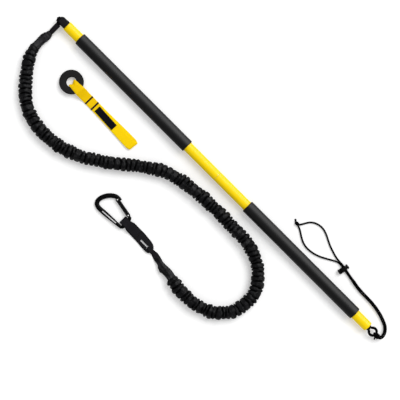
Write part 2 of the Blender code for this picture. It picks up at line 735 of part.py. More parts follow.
def ribbon(name, route, start, end, widths, thickness, holder):
    """A flat strap along the route, with its width read from a table."""
    sections = []
    for s in steps(start, end, 4 * MM):
        (width,) = between(widths, s)
        sections.append(route.section(s, rectangle(width, thickness)))
    return add_object(name, to_mesh(name, lofted(sections), 30), "black_webbing", holder)


def head_strap(route, sleeve_start, holder, pivot):
    """Strap from the clamp in the head cuff to the hitch round the bar's loop."""
    tip = sleeve_start - CLAMP_SETBACK - CLAMP_LENGTH + 2.1 * MM
    shoulder = tip - 10 * MM
    widths = [(0, BAND_STRAP_WIDTH), (shoulder, BAND_STRAP_WIDTH),
              (tip - 4 * MM, BAND_STRAP_TONGUE), (tip, BAND_STRAP_TONGUE)]
    strap = ribbon("band_head_strap", route, 0.3 * MM, tip, widths, BAND_STRAP_THICKNESS,
                   holder)
    collar = hitch_collar("head_hitch", pivot, -90, BAND_HITCH_ARC)
    join(strap, collar)


def tail_strap(route, sleeve_end, holder):
    """Strap from the tail cuff to the eye that is hitched through the carabiner's strap."""
    tip = sleeve_end + CLAMP_SETBACK + CLAMP_LENGTH - 2.1 * MM
    widths = [(tip, BAND_STRAP_TONGUE), (tip + 4 * MM, BAND_STRAP_TONGUE),
              (tip + 10 * MM, BAND_STRAP_WIDTH), (route.length, BAND_STRAP_WIDTH)]
    strap = ribbon("band_tail_strap", route, tip, route.length, widths, BAND_STRAP_THICKNESS,
                   holder)
    choke_start = STRAP_END_X - CHOKE_LENGTH
    rise = 2.3 * MM
    top = rise + STRAP_THICKNESS + 0.4 * MM
    left = choke_start - RUN
    right = STRAP_END_X + RUN
    hole = [(left, WEBBING), (left, top), (right - 1 * MM, top), (right + 3 * MM, top - 1.6 * MM),
            (right + 6.5 * MM, WEBBING + 0.4 * MM), (right + 6.5 * MM, WEBBING)]
    outer_left = left - WEBBING
    outer_top = top + WEBBING
    outline = [
        (outer_left + 1 * MM, 0), (outer_left, 1 * MM), (outer_left, outer_top - 1.4 * MM),
        (outer_left + 1.4 * MM, outer_top), (right, outer_top),
        (right + 4.5 * MM, outer_top - 2.6 * MM), (right + 8.6 * MM, 2.6 * MM),
        (right + 12 * MM, 2.4 * MM), (right + 12 * MM, 0),
    ]
    eye = extruded([outline, hole], TAIL_EYE_WIDTH)
    y = -243.3 * MM
    eye_object = add_object("tail_eye", to_mesh("tail_eye", eye, 30), None, holder, (0, y, 0))
    join(strap, eye_object)


def carabiner_strap(holder):
    """Webbing loop from the basket of the carabiner to the choked end at the band."""
    half = STOCK / 2 + TOUCH
    axis_z = WEBBING + half
    end_x = BASKET_X - 6 * MM
    outer = half + WEBBING

    def arc(radius):
        return [(end_x - radius * math.sin(math.radians(a)),
                 axis_z - radius * math.cos(math.radians(a)))
                for a in range(0, 181, 20)]

    top = 2 * axis_z
    rise = 2.3 * MM
    choke = STRAP_END_X - CHOKE_LENGTH
    outline = arc(outer) + [
        (BASKET_X + 5 * MM, top - 0.4 * MM), (BASKET_X + 15 * MM, top - 3.9 * MM),
        (BASKET_X + 24 * MM, 6.4 * MM), (BASKET_X + 31 * MM, 4.7 * MM),
        (BASKET_X + 38 * MM, STRAP_THICKNESS), (choke - 12 * MM, STRAP_THICKNESS),
        (choke - 3 * MM, rise + STRAP_THICKNESS - 0.4 * MM), (choke, rise + STRAP_THICKNESS),
        (STRAP_END_X - 1 * MM, rise + STRAP_THICKNESS), (STRAP_END_X, rise + STRAP_THICKNESS - 1 * MM),
        (STRAP_END_X, rise + 1 * MM), (STRAP_END_X - 1 * MM, rise), (choke, rise),
        (choke - 6 * MM, 1.1 * MM), (choke - 12 * MM, 0),
    ]
    hole = arc(half) + [
        (BASKET_X + 4.5 * MM, top - 2.4 * MM), (BASKET_X + 14 * MM, top - 5.9 * MM),
        (BASKET_X + 22 * MM, 4.6 * MM), (BASKET_X + 27 * MM, 2.7 * MM),
        (BASKET_X + 27 * MM, WEBBING),
    ]

    def width_at(x):
        table = [(BASKET_X + 4 * MM, STRAP_EYE_WIDTH), (BASKET_X + 14 * MM, STRAP_WIDTH),
                 (choke - 6 * MM, STRAP_WIDTH), (STRAP_END_X, 20 * MM)]
        return between(table, x)[0]

    bm = extruded([outline, hole], STRAP_WIDTH, width_at)
    strap = add_object("carabiner_strap", to_mesh("carabiner_strap", bm, 30), "black_webbing",
                       holder, (0, STRAP_Y, 0))
    slit_y = -243.3 * MM
    cut(strap, block("strap_slit", (choke - SLIT_LENGTH, slit_y - SLIT_WIDTH / 2, -1 * MM),
                     (choke - 1 * MM, slit_y + SLIT_WIDTH / 2, 12 * MM), holder))
    reach = TAIL_EYE_WIDTH / 2 + RUN
    cut(strap, block("strap_slit_end", (choke - 4 * MM, slit_y - reach, -1 * MM),
                     (choke, slit_y + reach, 12 * MM), holder))
    tack_x = BASKET_X + 41 * MM
    tack = extruded([[(tack_x, STRAP_THICKNESS + TOUCH),
                      (tack_x + 2.4 * MM, STRAP_THICKNESS + TOUCH),
                      (tack_x + 2.4 * MM, STRAP_THICKNESS + TOUCH + TACK_THICKNESS),
                      (tack_x, STRAP_THICKNESS + TOUCH + TACK_THICKNESS)]], STRAP_WIDTH - 3 * MM)
    add_object("carabiner_strap_tack", to_mesh("carabiner_strap_tack", tack), "black_cord",
               holder, (0, STRAP_Y, 0))


# Carabiner, in a frame with its origin on the basket's axis, +X to the nose, +Y to the spine

def carabiner_path():
    """Middle line of the body with its width, from the nose's tip to the gate's hinge."""
    basket = STOCK / MM
    corner = basket / 2 + 0.75
    spine_y = 15.5
    line = [
        (46, -34.3, 6.0), (50.5, -34.6, 8.4), (56, -34.3, 9.4), (62, -32.9, 9.6),
        (68.5, -29.6, 9.6), (75.5, -24.0, 9.6), (82.0, -16, 9.6), (86.6, -7, 9.7),
        (88.3, 1.5, 9.7), (86.6, 8.4, 9.5), (81.6, 13, 9.2), (74, 15.2, 8.6),
        (66, spine_y + 0.1, 8.0), (50, spine_y, SPINE_WIDTH / MM), (30, spine_y, SPINE_WIDTH / MM),
        (12, spine_y, SPINE_WIDTH / MM),
    ]
    for i in range(6):
        angle = math.radians(90 + 90 * i / 5)
        line.append((corner + corner * math.cos(angle), spine_y - corner + corner * math.sin(angle),
                     SPINE_WIDTH / MM + (basket - SPINE_WIDTH / MM) * i / 5))
    lobe = basket / 2 + 0.25
    low = GATE_HINGE[1] / MM + 1.2 + lobe
    for i in range(5):
        angle = math.radians(180 + 78 * i / 4)
        line.append((lobe + lobe * math.cos(angle), low + lobe * math.sin(angle), basket - 0.5 * i))
    # twice as many sections round the nose, where the line bends
    bent = Route(line[:13])
    return [tuple(p) for p in bent.points[:-1:6]] + [
        (x * MM, y * MM, w * MM) for x, y, w in line[12:]]


def carabiner_body(pivot):
    line = carabiner_path()
    places = [Vector((x, y, 0)) for x, y, _ in line]
    sections = []
    for i, (place, (_, _, width)) in enumerate(zip(places, line)):
        before = places[max(i - 1, 0)]
        after = places[min(i + 1, len(places) - 1)]
        way = (after - before).normalized()
        side = way.cross(Vector((0, 0, 1)))
        # the basket's straight stretch is round, the rest slightly squared
        square = 2.0 if width > STOCK - 0.1 * MM and abs(place.x) < 1 * MM else 2.4
        sections.append([place + side * a + Vector((0, 0, b))
                         for a, b in oval(width, STOCK, 12, square)])
    body = add_object("carabiner_body", to_mesh("carabiner_body", lofted(sections), 50),
                      "black_anodised", pivot)
    tongue = TONGUE / 2
    round_end = GATE_WIDTH / 2
    for name, (x, y) in (("hinge", GATE_HINGE), ("latch", GATE_LATCH)):
        plate = cylinder(f"{name}_tongue", round_end - 0.2 * MM, (x, y, -tongue), (x, y, tongue),
                         pivot, 24)
        join(body, plate)
    clear = round_end + RUN + 0.1 * MM
    along = Vector((*GATE_LATCH, 0)) - Vector((*GATE_HINGE, 0))
    angle = math.atan2(along.y, along.x)
    for part, low, high in (("top", tongue, STOCK), ("bottom", -STOCK, -tongue)):
        for name, (x, y) in (("hinge", GATE_HINGE), ("latch", GATE_LATCH)):
            cut(body, cylinder(f"{name}_clear_{part}", clear, (x, y, low), (x, y, high), pivot, 28))
        cut(body, block(f"fork_clear_{part}", (0, -clear, low), (along.length, clear, high),
                        pivot, ((*GATE_HINGE, 0), angle)))
    reach = along.length - 7.6 * MM
    cut(body, block("gate_clear", (6.5 * MM, -clear, -STOCK), (reach, clear, STOCK), pivot,
                    ((*GATE_HINGE, 0), angle)))
    slot = GATE_PIN + RUN
    cut(body, block("latch_slot", (along.length - slot, 0, -STOCK),
                    (along.length + slot, 3 * round_end, STOCK), pivot,
                    ((*GATE_HINGE, 0), angle)))
    for name, (x, y) in (("hinge", GATE_HINGE), ("latch", GATE_LATCH)):
        hole = cylinder(f"{name}_body_hole", slot if name == "latch" else GATE_PIN + TOUCH,
                        (x, y, -STOCK), (x, y, STOCK), pivot, 16)
        cut(body, hole)
    return body


def carabiner_gate(pivot):
    """Gate, its two pins, and the spring and plunger in its bore, turning about the hinge."""
    along = Vector((*GATE_LATCH, 0)) - Vector((*GATE_HINGE, 0))
    angle = math.atan2(along.y, along.x)
    frame = empty("gate_pivot", (*GATE_HINGE, 0), (0, 0, angle), pivot)
    length = along.length
    half = GATE_WIDTH / 2
    outline = []
    for start, middle in ((90, 0), (-90, length)):
        for i in range(9):
            a = math.radians(start + 180 * i / 8)
            outline.append((middle + half * math.cos(a), half * math.sin(a)))
    bevel = 1.3 * MM
    top = STOCK / 2 - GATE_SHY
    sections = []
    for z, inset in ((-top, bevel), (-top + bevel * 0.4, bevel * 0.35), (-top + bevel, 0),
                     (top - bevel, 0), (top - bevel * 0.4, bevel * 0.35), (top, bevel)):
        ring = []
        for x, y in outline:
            centre_x = min(max(x, 0), length)
            shrink = (half - inset) / half
            ring.append(Vector((centre_x + (x - centre_x) * shrink, y * shrink, z)))
        sections.append(ring)
    gate = add_object("carabiner_gate", to_mesh("carabiner_gate", lofted(sections), 25),
                      "black_anodised", frame)
    fork = TONGUE / 2 + RUN
    cut(gate, block("fork_slot_hinge", (-GATE_WIDTH, -GATE_WIDTH, -fork),
                    (half + 1.4 * MM, GATE_WIDTH, fork), frame))
    cut(gate, block("fork_slot_latch", (length - 8.2 * MM, -GATE_WIDTH, -fork),
                    (length + GATE_WIDTH, GATE_WIDTH, fork), frame))
    for name, x in (("hinge", 0), ("latch", length)):
        cut(gate, cylinder(f"{name}_gate_hole", GATE_PIN + TOUCH, (x, 0, -STOCK), (x, 0, STOCK),
                           frame, 16))
        pin_half = top + 0.15 * MM
        pin = cylinder(f"gate_{name}_pin", GATE_PIN, (x, 0, -pin_half), (x, 0, pin_half), frame, 16)
        pin.data.materials.append(material("steel"))
    bore = 1.9 * MM
    bore_start = half + 1.2 * MM
    bore_end = bore_start + 19 * MM
    cut(gate, cylinder("spring_bore", bore, (bore_start, 0, 0), (bore_end, 0, 0), frame, 16))
    plunger_start = half - 0.2 * MM + TOUCH
    plunger_end = bore_start + 5 * MM
    plunger = cylinder("gate_plunger", bore - TOUCH, (plunger_start, 0, 0), (plunger_end, 0, 0),
                       frame, 14)
    plunger.data.materials.append(material("steel"))
    wire = 0.3 * MM
    coil = bore - TOUCH - wire
    start = plunger_end + TOUCH + wire
    run = bore_end - TOUCH - wire - start
    curls = 6
    points = helix(coil, run, curls)
    tube_curve("gate_spring", [(start + z, x, y) for x, y, z in points], wire, "steel", frame, 1)
    print(f"gate spring least gap {helix_gap(run, curls, wire) / MM:.2f} mm")


def helix(radius, run, curls, per_curl=9):
    points = []
    for i in range(curls * per_curl + 1):
        angle = 2 * math.pi * i / per_curl
        points.append((radius * math.cos(angle), radius * math.sin(angle),
                       run * i / (curls * per_curl)))
    return points


def helix_gap(run, curls, wire):
    return run / curls - 2 * wire


# Wrist cord

def strand(route, sign):
    """One strand of the doubled cord: the two turn slowly round each other."""
    points = []
    for s in [0] + steps(HITCH_GRIP, route.length, 6.8 * MM):
        point, side, up = route.frame(s)
        turn = math.radians(CORD_TWIST) * min(1, s / (route.length - CORD_STRAIGHT))
        away = side * math.cos(turn) + up * math.sin(turn)
        points.append(point + away * (STRAND_OFFSET * sign))
    return points


def wrist_pieces(pivot):
    holder = route_holder("wrist_layout", pivot, CORD_ROUTE, (HITCH_REACH - HITCH_GRIP, 0))
    double = Route(from_hitch(CORD_ROUTE, AXIS_Z))
    for name, sign, chosen in (("upper", 1, UPPER_ROUTE), ("lower", -1, LOWER_ROUTE)):
        single = Route(chosen)
        points = strand(double, sign)
        points += [single.at(s) for s in steps(0, single.length, 7.6 * MM)][1:]
        tube_curve(f"wrist_cord_{name}", points, CORD, "black_cord", holder)
        length = sum((b - a).length for a, b in zip(points, points[1:]))
        print(f"wrist_cord_{name} {length:.4f} m, {len(points)} points")

    collar = hitch_collar("wrist_hitch_ring", pivot, 0, WRIST_HITCH_ARC)
    hitch = add_object("wrist_hitch", to_mesh("wrist_hitch", lofted(
        [[Vector((x, a, b)) for a, b in oval(w, h, 16)]
         for x, w, h in ((HITCH_INSIDE + HITCH_BITE, 7.4 * MM, 5.4 * MM),
                         (HITCH_OUTSIDE + 0.3 * MM, 8.2 * MM, 5.6 * MM),
                         (HITCH_REACH - 0.7 * MM, 8.2 * MM, 5.4 * MM),
                         (HITCH_REACH, 7.6 * MM, 4.6 * MM))]), 50), "black_cord", pivot)
    join(hitch, collar)
    for name, y in (("a", STRAND_OFFSET), ("b", -STRAND_OFFSET)):
        start = HITCH_REACH - HITCH_GRIP - TOUCH
        cut(hitch, cylinder(f"wrist_hitch_hole_{name}", CORD + TOUCH, (start, y, 0),
                            (HITCH_REACH + 2 * MM, y, 0), pivot, 12))

    bm = bmesh.new()
    bmesh.ops.create_icosphere(bm, subdivisions=2, radius=0.5)
    matrix = Matrix.LocRotScale(Vector(KNOT) * MM, None, Vector(KNOT_SIZE) * MM)
    bmesh.ops.transform(bm, matrix=matrix, verts=bm.verts[:])
    knot = add_object("wrist_knot", to_mesh("wrist_knot", bm, 60), "black_cord", holder)
    tail = add_object("knot_tail", tube_mesh(
        "knot_tail", [Vector(p) * MM for p in KNOT_TAIL], 1.8 * MM), None, holder)
    join(knot, tail)
    # the strands end at the knot's surface
    route_ends = [Route(UPPER_ROUTE), Route(LOWER_ROUTE)]
    for i, route in enumerate(route_ends):
        end = route.length
        notch = add_object(f"knot_seat_{i}", tube_mesh(
            f"knot_seat_{i}", [route.at(s) for s in (end - 9 * MM, end - 3 * MM, end + TOUCH)],
            CORD + TOUCH), None, holder)
        cut(knot, notch)
    return holder


# Cord lock, in a frame at its centre, +X along the cord towards the bar, +Y to the button

def cord_lock(holder):
    centre_z = LOCK_RADIUS - 0.1 * MM
    before, at, after = (Vector(p) for p in CORD_ROUTE[-3:])
    way = before - after
    frame = empty("cord_lock_place", (at.x * MM, at.y * MM, centre_z),
                  (0, 0, math.atan2(way.y, way.x)), holder)
    closed = -LOCK_CORD_HOLE
    mouth = closed + LOCK_LENGTH
    bore = LOCK_RADIUS - LOCK_WALL
    edge = 1.4 * MM
    profile = [(closed, 0), (closed, LOCK_RADIUS - edge), (closed + 0.4 * edge, LOCK_RADIUS - 0.3 * edge),
               (closed + edge, LOCK_RADIUS), (mouth - 0.5 * MM, LOCK_RADIUS),
               (mouth, LOCK_RADIUS - 0.5 * MM), (mouth, bore), (closed + 2 * MM, bore),
               (closed + 2 * MM, 0)]
    bm = turned(profile, 24)
    turn_y = Matrix.Rotation(math.radians(90), 4, "Z")
    bmesh.ops.transform(bm, matrix=turn_y, verts=bm.verts[:])
    for vert in bm.verts:
        vert.co.z = max(vert.co.z, -centre_z)
    body = add_object("cord_lock_body", to_mesh("cord_lock_body", bm, 40), "black_plastic", frame)
    slot_half = CORD + 0.35 * MM
    slot_up = STRAND_OFFSET + CORD + 0.4 * MM
    cut(body, block("lock_cord_hole", (-LOCK_RADIUS * 2, -slot_half, -slot_up),
                    (LOCK_RADIUS * 2, slot_half, slot_up), frame))

    button_frame = empty("cord_lock_button_place", parent=frame)
    plunger = bore - RUN
    cap_start = mouth + TOUCH + BUTTON_TRAVEL
    inner = closed + 2 * MM + LOCK_SPRING_SPACE
    profile = [(inner, 0), (inner, plunger), (cap_start, plunger), (cap_start, BUTTON_CAP),
               (cap_start + BUTTON_HEIGHT - 0.8 * MM, BUTTON_CAP),
               (cap_start + BUTTON_HEIGHT, BUTTON_CAP - 0.8 * MM), (cap_start + BUTTON_HEIGHT, 0)]
    bm = turned(profile, 24)
    bmesh.ops.transform(bm, matrix=turn_y, verts=bm.verts[:])
    for vert in bm.verts:
        vert.co.z = max(vert.co.z, -centre_z)
    button = add_object("cord_lock_button", to_mesh("cord_lock_button", bm, 40), "black_plastic",
                        button_frame)
    cut(button, block("button_cord_hole", (-LOCK_RADIUS * 2, -slot_half, -slot_up),
                      (LOCK_RADIUS * 2, slot_half + BUTTON_TRAVEL + 0.2 * MM, slot_up),
                      button_frame))
    wire = LOCK_SPRING_WIRE
    start = closed + 2 * MM + TOUCH + wire
    run = inner - TOUCH - wire - start
    points = helix(plunger - 1.2 * MM, run, LOCK_SPRING_CURLS, 9)
    tube_curve("cord_lock_spring", [(x, start + z, y) for x, y, z in points], wire, "steel",
               frame, 1)
    print(f"lock spring least gap {helix_gap(run, LOCK_SPRING_CURLS, wire) / MM:.2f} mm")


# Door anchor, in a frame on the floor under the disc's centre, +X along the strap

def door_anchor(layout):
    frame = empty("door_anchor_place", (DISC_X - LOOP_X, DISC_Y, 0),
                  (0, 0, math.radians(ANCHOR_YAW)), layout)
    web = ANCHOR_WEBBING
    tilt = math.atan2(web + TOUCH, DISC_RADIUS + EYE_START)
    edge = 2 * MM
    t = DISC_THICKNESS
    profile = [(0, DISC_HOLE + 0.6 * MM), (0, DISC_RADIUS - edge), (0.3 * edge, DISC_RADIUS - 0.3 * edge),
               (edge, DISC_RADIUS), (t - edge, DISC_RADIUS), (t - 0.3 * edge, DISC_RADIUS - 0.3 * edge),
               (t, DISC_RADIUS - edge), (t, DISC_HOLE + 0.6 * MM), (t - 0.6 * MM, DISC_HOLE),
               (0.6 * MM, DISC_HOLE)]
    bm = turned(profile, 40, hollow=True)
    bmesh.ops.transform(bm, matrix=Matrix.Rotation(math.radians(-90), 4, "Y"), verts=bm.verts[:])
    lift = DISC_RADIUS * math.sin(tilt)
    disc = add_object("anchor_disc", to_mesh("anchor_disc", bm, 40), "foam", frame,
                      (0, 0, lift), (0, -tilt, 0))

    def under(x):
        return lift + x * math.tan(tilt)

    def over(x):
        return under(x) + t / math.cos(tilt) + TOUCH + 0.1 * MM

    rim = DISC_RADIUS + RUN
    x0 = EYE_START
    inner_left = x0 + web
    sewn = 2 * web
    gap = 1.2 * MM
    upper = 2 * web + gap
    far = ANCHOR_LENGTH
    fold = 3.2 * MM
    outline = [
        (x0 + 2 * MM, 0), (far - fold, 0), (far - 0.9 * MM, 0.9 * MM), (far, fold),
        (far - 0.9 * MM, 2 * fold - 0.9 * MM), (far - fold, 2 * fold),
        (far - 30 * MM, upper + 0.5 * MM), (far - 55 * MM, upper), (SEWN_END + 8 * MM, upper),
        (SEWN_END + 1 * MM, sewn + 0.1 * MM), (SEWN_END, sewn), (SEWN_START, sewn),
        (SEWN_START - 5 * MM, sewn + 1 * MM), (rim + 8 * MM, over(rim) - 6 * MM),
        (rim + 2.5 * MM, over(rim) - 0.6 * MM), (rim - 4 * MM, over(rim - 4 * MM) + web),
        (DISC_HOLE, over(DISC_HOLE) + web), (inner_left + 3 * MM, over(inner_left) + web - 0.3 * MM),
        (x0 + 1.2 * MM, over(x0) - 0.4 * MM), (x0, over(x0) - 3 * MM), (x0, 2 * MM),
        (x0 + 0.6 * MM, 0.6 * MM),
    ]
    eye = [
        (inner_left + 0.6 * MM, web), (SEWN_START - 6 * MM, web), (SEWN_START - 6 * MM, sewn - 0.6 * MM),
        (rim + 6.4 * MM, over(rim) - 6.8 * MM), (rim + 1.2 * MM, over(rim) - 1.4 * MM),
        (rim - 3 * MM, over(rim - 3 * MM)), (DISC_HOLE, over(DISC_HOLE)),
        (inner_left + 4 * MM, over(inner_left + 4 * MM)),
        (inner_left + 1 * MM, over(inner_left) - 2 * MM), (inner_left, over(inner_left) - 4 * MM),
        (inner_left, web + 0.8 * MM),
    ]
    hand_loop = [
        (SEWN_END + 4 * MM, web), (far - fold - 0.6 * MM, web), (far - web - 0.4 * MM, web + 0.6 * MM),
        (far - web, fold), (far - web - 0.4 * MM, 2 * fold - web - 0.6 * MM),
        (far - fold - 0.6 * MM, 2 * fold - web), (far - 30 * MM, upper - web + 0.5 * MM),
        (far - 55 * MM, upper - web), (SEWN_END + 8 * MM, upper - web),
    ]

    def width_at(x):
        table = [(DISC_HOLE, ANCHOR_EYE_WIDTH), (rim + 10 * MM, ANCHOR_WIDTH), (far, ANCHOR_WIDTH)]
        return between(table, x)[0]

    bm = extruded([outline, eye, hand_loop], ANCHOR_WIDTH, width_at)
    add_object("anchor_strap", to_mesh("anchor_strap", bm, 30), "yellow_webbing", frame)

    label_z = upper + TOUCH
    label = block("anchor_label", (LABEL_START, -LABEL_WIDTH / 2 - 1 * MM, label_z),
                  (LABEL_START + LABEL_LENGTH, LABEL_WIDTH / 2 - 1 * MM, label_z + LABEL_THICKNESS),
                  frame)
    label.data.materials.append(material("label"))
    for name, x in zip(("inner", "outer"), ANCHOR_TACKS):
        tack = block(f"anchor_tack_{name}", (x - TACK_WIDTH / 2, -ANCHOR_WIDTH / 2, sewn + TOUCH),
                     (x + TACK_WIDTH / 2, ANCHOR_WIDTH / 2, sewn + TOUCH + TACK_THICKNESS), frame)
        tack.data.materials.append(material("black_cord"))
    return disc


def build():
    clear_scene()
    layout = empty("layout", (0, BAR_Y, 0))
    bar_tube("wrist_end_tube", layout, 0)
    bar_tube("band_end_tube", layout, math.pi)
    foam_grip("wrist_end_grip", layout, 1)
    foam_grip("band_end_grip", layout, -1)
    coupler_stud(layout)
    coupler_insert(layout)
    end_fittings("wrist", layout, 0)
    end_fittings("band", layout, math.pi)

    band_pivot = empty("band_pivot", (-LOOP_X, 0, AXIS_Z), parent=layout)
    holder = band_pieces(band_pivot)
    carabiner_strap(holder)
    basket_z = WEBBING + TOUCH + STOCK / 2
    nose = 93 * MM
    tilt = math.asin((basket_z - STOCK / 2) / nose)
    carabiner_pivot = empty("carabiner_pivot", (BASKET_X, BASKET_Y, basket_z),
                            (0, tilt, math.radians(CARABINER_YAW)), holder)
    carabiner_body(carabiner_pivot)
    carabiner_gate(carabiner_pivot)

    wrist_pivot = empty("wrist_pivot", (LOOP_X, 0, AXIS_Z), parent=layout)
    wrist_holder = wrist_pieces(wrist_pivot)
    cord_lock(wrist_holder)
    door_anchor(layout)


build()
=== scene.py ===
# Resistance band bar, laid out on a pale floor. Metres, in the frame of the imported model.
import bisect
import math
import random

import bmesh
import bpy
from mathutils import Matrix, Vector, noise


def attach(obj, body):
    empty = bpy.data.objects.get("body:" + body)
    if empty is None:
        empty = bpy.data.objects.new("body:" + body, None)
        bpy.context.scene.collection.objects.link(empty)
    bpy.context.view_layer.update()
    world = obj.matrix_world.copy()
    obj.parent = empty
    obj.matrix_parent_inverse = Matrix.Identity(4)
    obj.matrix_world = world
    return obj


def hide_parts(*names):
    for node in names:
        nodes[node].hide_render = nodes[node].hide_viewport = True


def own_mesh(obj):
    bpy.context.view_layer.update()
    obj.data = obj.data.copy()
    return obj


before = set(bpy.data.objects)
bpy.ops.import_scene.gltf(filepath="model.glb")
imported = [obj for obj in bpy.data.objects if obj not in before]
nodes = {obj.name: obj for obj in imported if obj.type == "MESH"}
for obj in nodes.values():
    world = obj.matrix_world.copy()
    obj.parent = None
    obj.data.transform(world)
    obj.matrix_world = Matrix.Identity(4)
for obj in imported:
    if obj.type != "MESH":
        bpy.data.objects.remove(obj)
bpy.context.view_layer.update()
mm = .001
barY = .05145  # the bar's middle, sideways
axisZ = .01605  # height of the bar's axis
barEnd = .52
loopX = .5357  # centre of the cord loop in each end
eyeY = barY - .2433  # middle of the tail strap's eye, where the band meets the carabiner's strap
sideways = Vector((0, 1, 0))
upwards = Vector((0, 0, 1))


def added(name, data):
    made = bpy.data.objects.new(name, data)
    bpy.context.scene.collection.objects.link(made)
    return made


# Camera

view = {
    "centre": (.01095, -.0194),  # what the picture's middle shows
    "turn": 45,  # degrees, the bar runs down to the right
    "height": 3.2,
    "width": .98,  # floor that the picture is wide
}
lens = bpy.data.cameras.new("camera")
lens.sensor_width = 36
lens.lens = lens.sensor_width * view["height"] / view["width"]
lens.clip_end = 50
camera = added("camera", lens)
camera.location = (*view["centre"], view["height"])
camera.rotation_euler = (0, 0, math.radians(view["turn"]))
bpy.context.scene.camera = camera
print("camera")


# Lines and tables

def steps(start, end, spacing):
    count = max(1, round((end - start) / spacing))
    return [start + (end - start) * i / count for i in range(count + 1)]


def ease(low, high, x):
    t = min(1, max(0, (x - low) / (high - low)))
    return t * t * (3 - 2 * t)


def between(table, s):
    # a row of numbers at s, blended smoothly from a table of (s, numbers)
    if s <= table[0][0]:
        return table[0][1:]
    for low, high in zip(table, table[1:]):
        if s <= high[0]:
            t = ease(low[0], high[0], s)
            return tuple(a + (b - a) * t for a, b in zip(low[1:], high[1:]))
    return table[-1][1:]


def running(points):
    # length along a line up to each of its points
    marks = [0.0]
    for a, b in zip(points, points[1:]):
        marks.append(marks[-1] + (b - a).length)
    return marks


def angles(count):
    return [2 * math.pi * k / count for k in range(count)]


def circle(count):
    return [(math.cos(a), math.sin(a)) for a in angles(count)]


def rough(x, y, z):
    return noise.noise(Vector((x, y, z)))


def ridged(x, y, z):
    return 1 - 2 * abs(rough(x, y, z))


def onFloor(point, height=.0002):
    point.z = max(point.z, height)
    return point


class Route:
    # a smooth curve through chosen points, read by its length
    def __init__(self, chosen, perSpan=12, closed=False):
        points = [Vector(p) for p in chosen]
        if closed:
            ends = [points[-1]] + points + [points[0], points[1]]
        else:
            ends = [points[0] * 2 - points[1]] + points + [points[-1] * 2 - points[-2]]
        self.points = [points[0]]
        for p0, p1, p2, p3 in zip(ends, ends[1:], ends[2:], ends[3:]):
            for k in range(1, perSpan + 1):
                t = k / perSpan
                self.points.append(.5 * (
                    2 * p1 + (p2 - p0) * t + (2 * p0 - 5 * p1 + 4 * p2 - p3) * t ** 2
                    + (3 * p1 - p0 - 3 * p2 + p3) * t ** 3))
        self.marks = running(self.points)
        self.length = self.marks[-1]

    def at(self, s):
        # runs on straight beyond its ends
        if s <= 0:
            return self.points[0] + (self.points[0] - self.points[1]).normalized() * -s
        if s >= self.length:
            return self.points[-1] + (self.points[-1] - self.points[-2]).normalized() * (s - self.length)
        i = bisect.bisect_right(self.marks, s)
        share = (s - self.marks[i - 1]) / (self.marks[i] - self.marks[i - 1])
        return self.points[i - 1].lerp(self.points[i], share)

    def frame(self, s):
        # point, sideways and upwards, square to the curve
        way = (self.at(s + 1 * mm) - self.at(s - 1 * mm)).normalized()
        side = way.cross(upwards).normalized()
        return self.at(s), side, side.cross(way)

    def spaced(self, spacing):
        return [self.at(s) for s in steps(0, self.length, spacing)]


def fromBar(points, height):
    # measured from the bar's middle, at this height where none is given
    return [Vector((x, y + barY, *(z or [height]))) for x, y, *z in points]


# Meshes

def skin(name, rings, marks, around, loop=False, shade=None):
    # rings of points as one mesh, with a UV map in metres: round the ring, and along
    count = len(rings[0])
    if not hasattr(around, "__len__"):
        around = [around / count] * count
    edges = [0.0]
    for width in around:
        edges.append(edges[-1] + width)
    faces, across, along = [], [], []
    for i in range(len(rings) - 1 + loop):
        here, there = i * count, (i + 1) % len(rings) * count
        for a in range(count):
            b = (a + 1) % count
            faces.append((here + a, here + b, there + b, there + a))
            across += [edges[a], edges[a + 1], edges[a + 1], edges[a]]
            along += [marks[i], marks[i], marks[i + 1], marks[i + 1]]
    if not loop:
        for i in (0, len(rings) - 1):
            faces.append(tuple(range(i * count, (i + 1) * count)))
            across += edges[:count]
            along += [marks[i]] * count
    mesh = bpy.data.meshes.new(name)
    mesh.from_pydata([p for ring in rings for p in ring], [], faces)
    cloth = mesh.uv_layers.new(name="cloth")
    cloth.data.foreach_set("uv", [x for pair in zip(across, along) for x in pair])
    if shade:
        setPaintedLight(mesh, shade)
    shape = bmesh.new()
    shape.from_mesh(mesh)
    bmesh.ops.recalc_face_normals(shape, faces=shape.faces[:])
    if shape.calc_volume(signed=True) < 0:
        bmesh.ops.reverse_faces(shape, faces=shape.faces[:])
    shape.to_mesh(mesh)
    shape.free()
    return added(name, mesh)


# the crest attribute carries painted light: painted shade in the sleeve's creases, on the webbing's edges
# and over the hitch, and a painted reflection on the carabiner's groove floor
def setPaintedLight(mesh, values):
    mesh.attributes.new("crest", "FLOAT", "POINT").data.foreach_set("value", values)


def smooth(made, angle):
    only(made)
    bpy.ops.object.shade_smooth_by_angle(angle=math.radians(angle))
    return made


def only(made):
    bpy.ops.object.select_all(action="DESELECT")
    made.select_set(True)
    bpy.context.view_layer.objects.active = made


def cordTube(name, points, radius, sides, swell=None):
    # a round cord through points, its sections turned as little as possible
    way = (points[1] - points[0]).normalized()
    side = way.cross(upwards)
    if side.length < .1:
        side = way.cross(sideways)
    side.normalize()
    rings = []
    for i, point in enumerate(points):
        new = (points[min(i + 1, len(points) - 1)] - points[max(i - 1, 0)]).normalized()
        side = way.rotation_difference(new) @ side
        side = (side - new * side.dot(new)).normalized()
        way = new
        up = side.cross(way)
        r = radius * (swell[i] if swell else 1)
        rings.append([point + side * (r * c) + up * (r * sn) for c, sn in circle(sides)])
    return smooth(skin(name, rings, running(points), 2 * math.pi * radius), 60)


def joined(name, pieces):
    only(pieces[0])
    for piece in pieces[1:]:
        piece.select_set(True)
    bpy.ops.object.join()
    made = bpy.context.object
    made.name = name
    made.data.name = name
    return made


def primitive(kind, name, **settings):
    bpy.ops.object.select_all(action="DESELECT")
    getattr(bpy.ops.mesh, f"primitive_{kind}_add")(**settings)
    bpy.ops.object.transform_apply(location=True, rotation=True, scale=True)
    made = bpy.context.object
    made.name = name
    return made


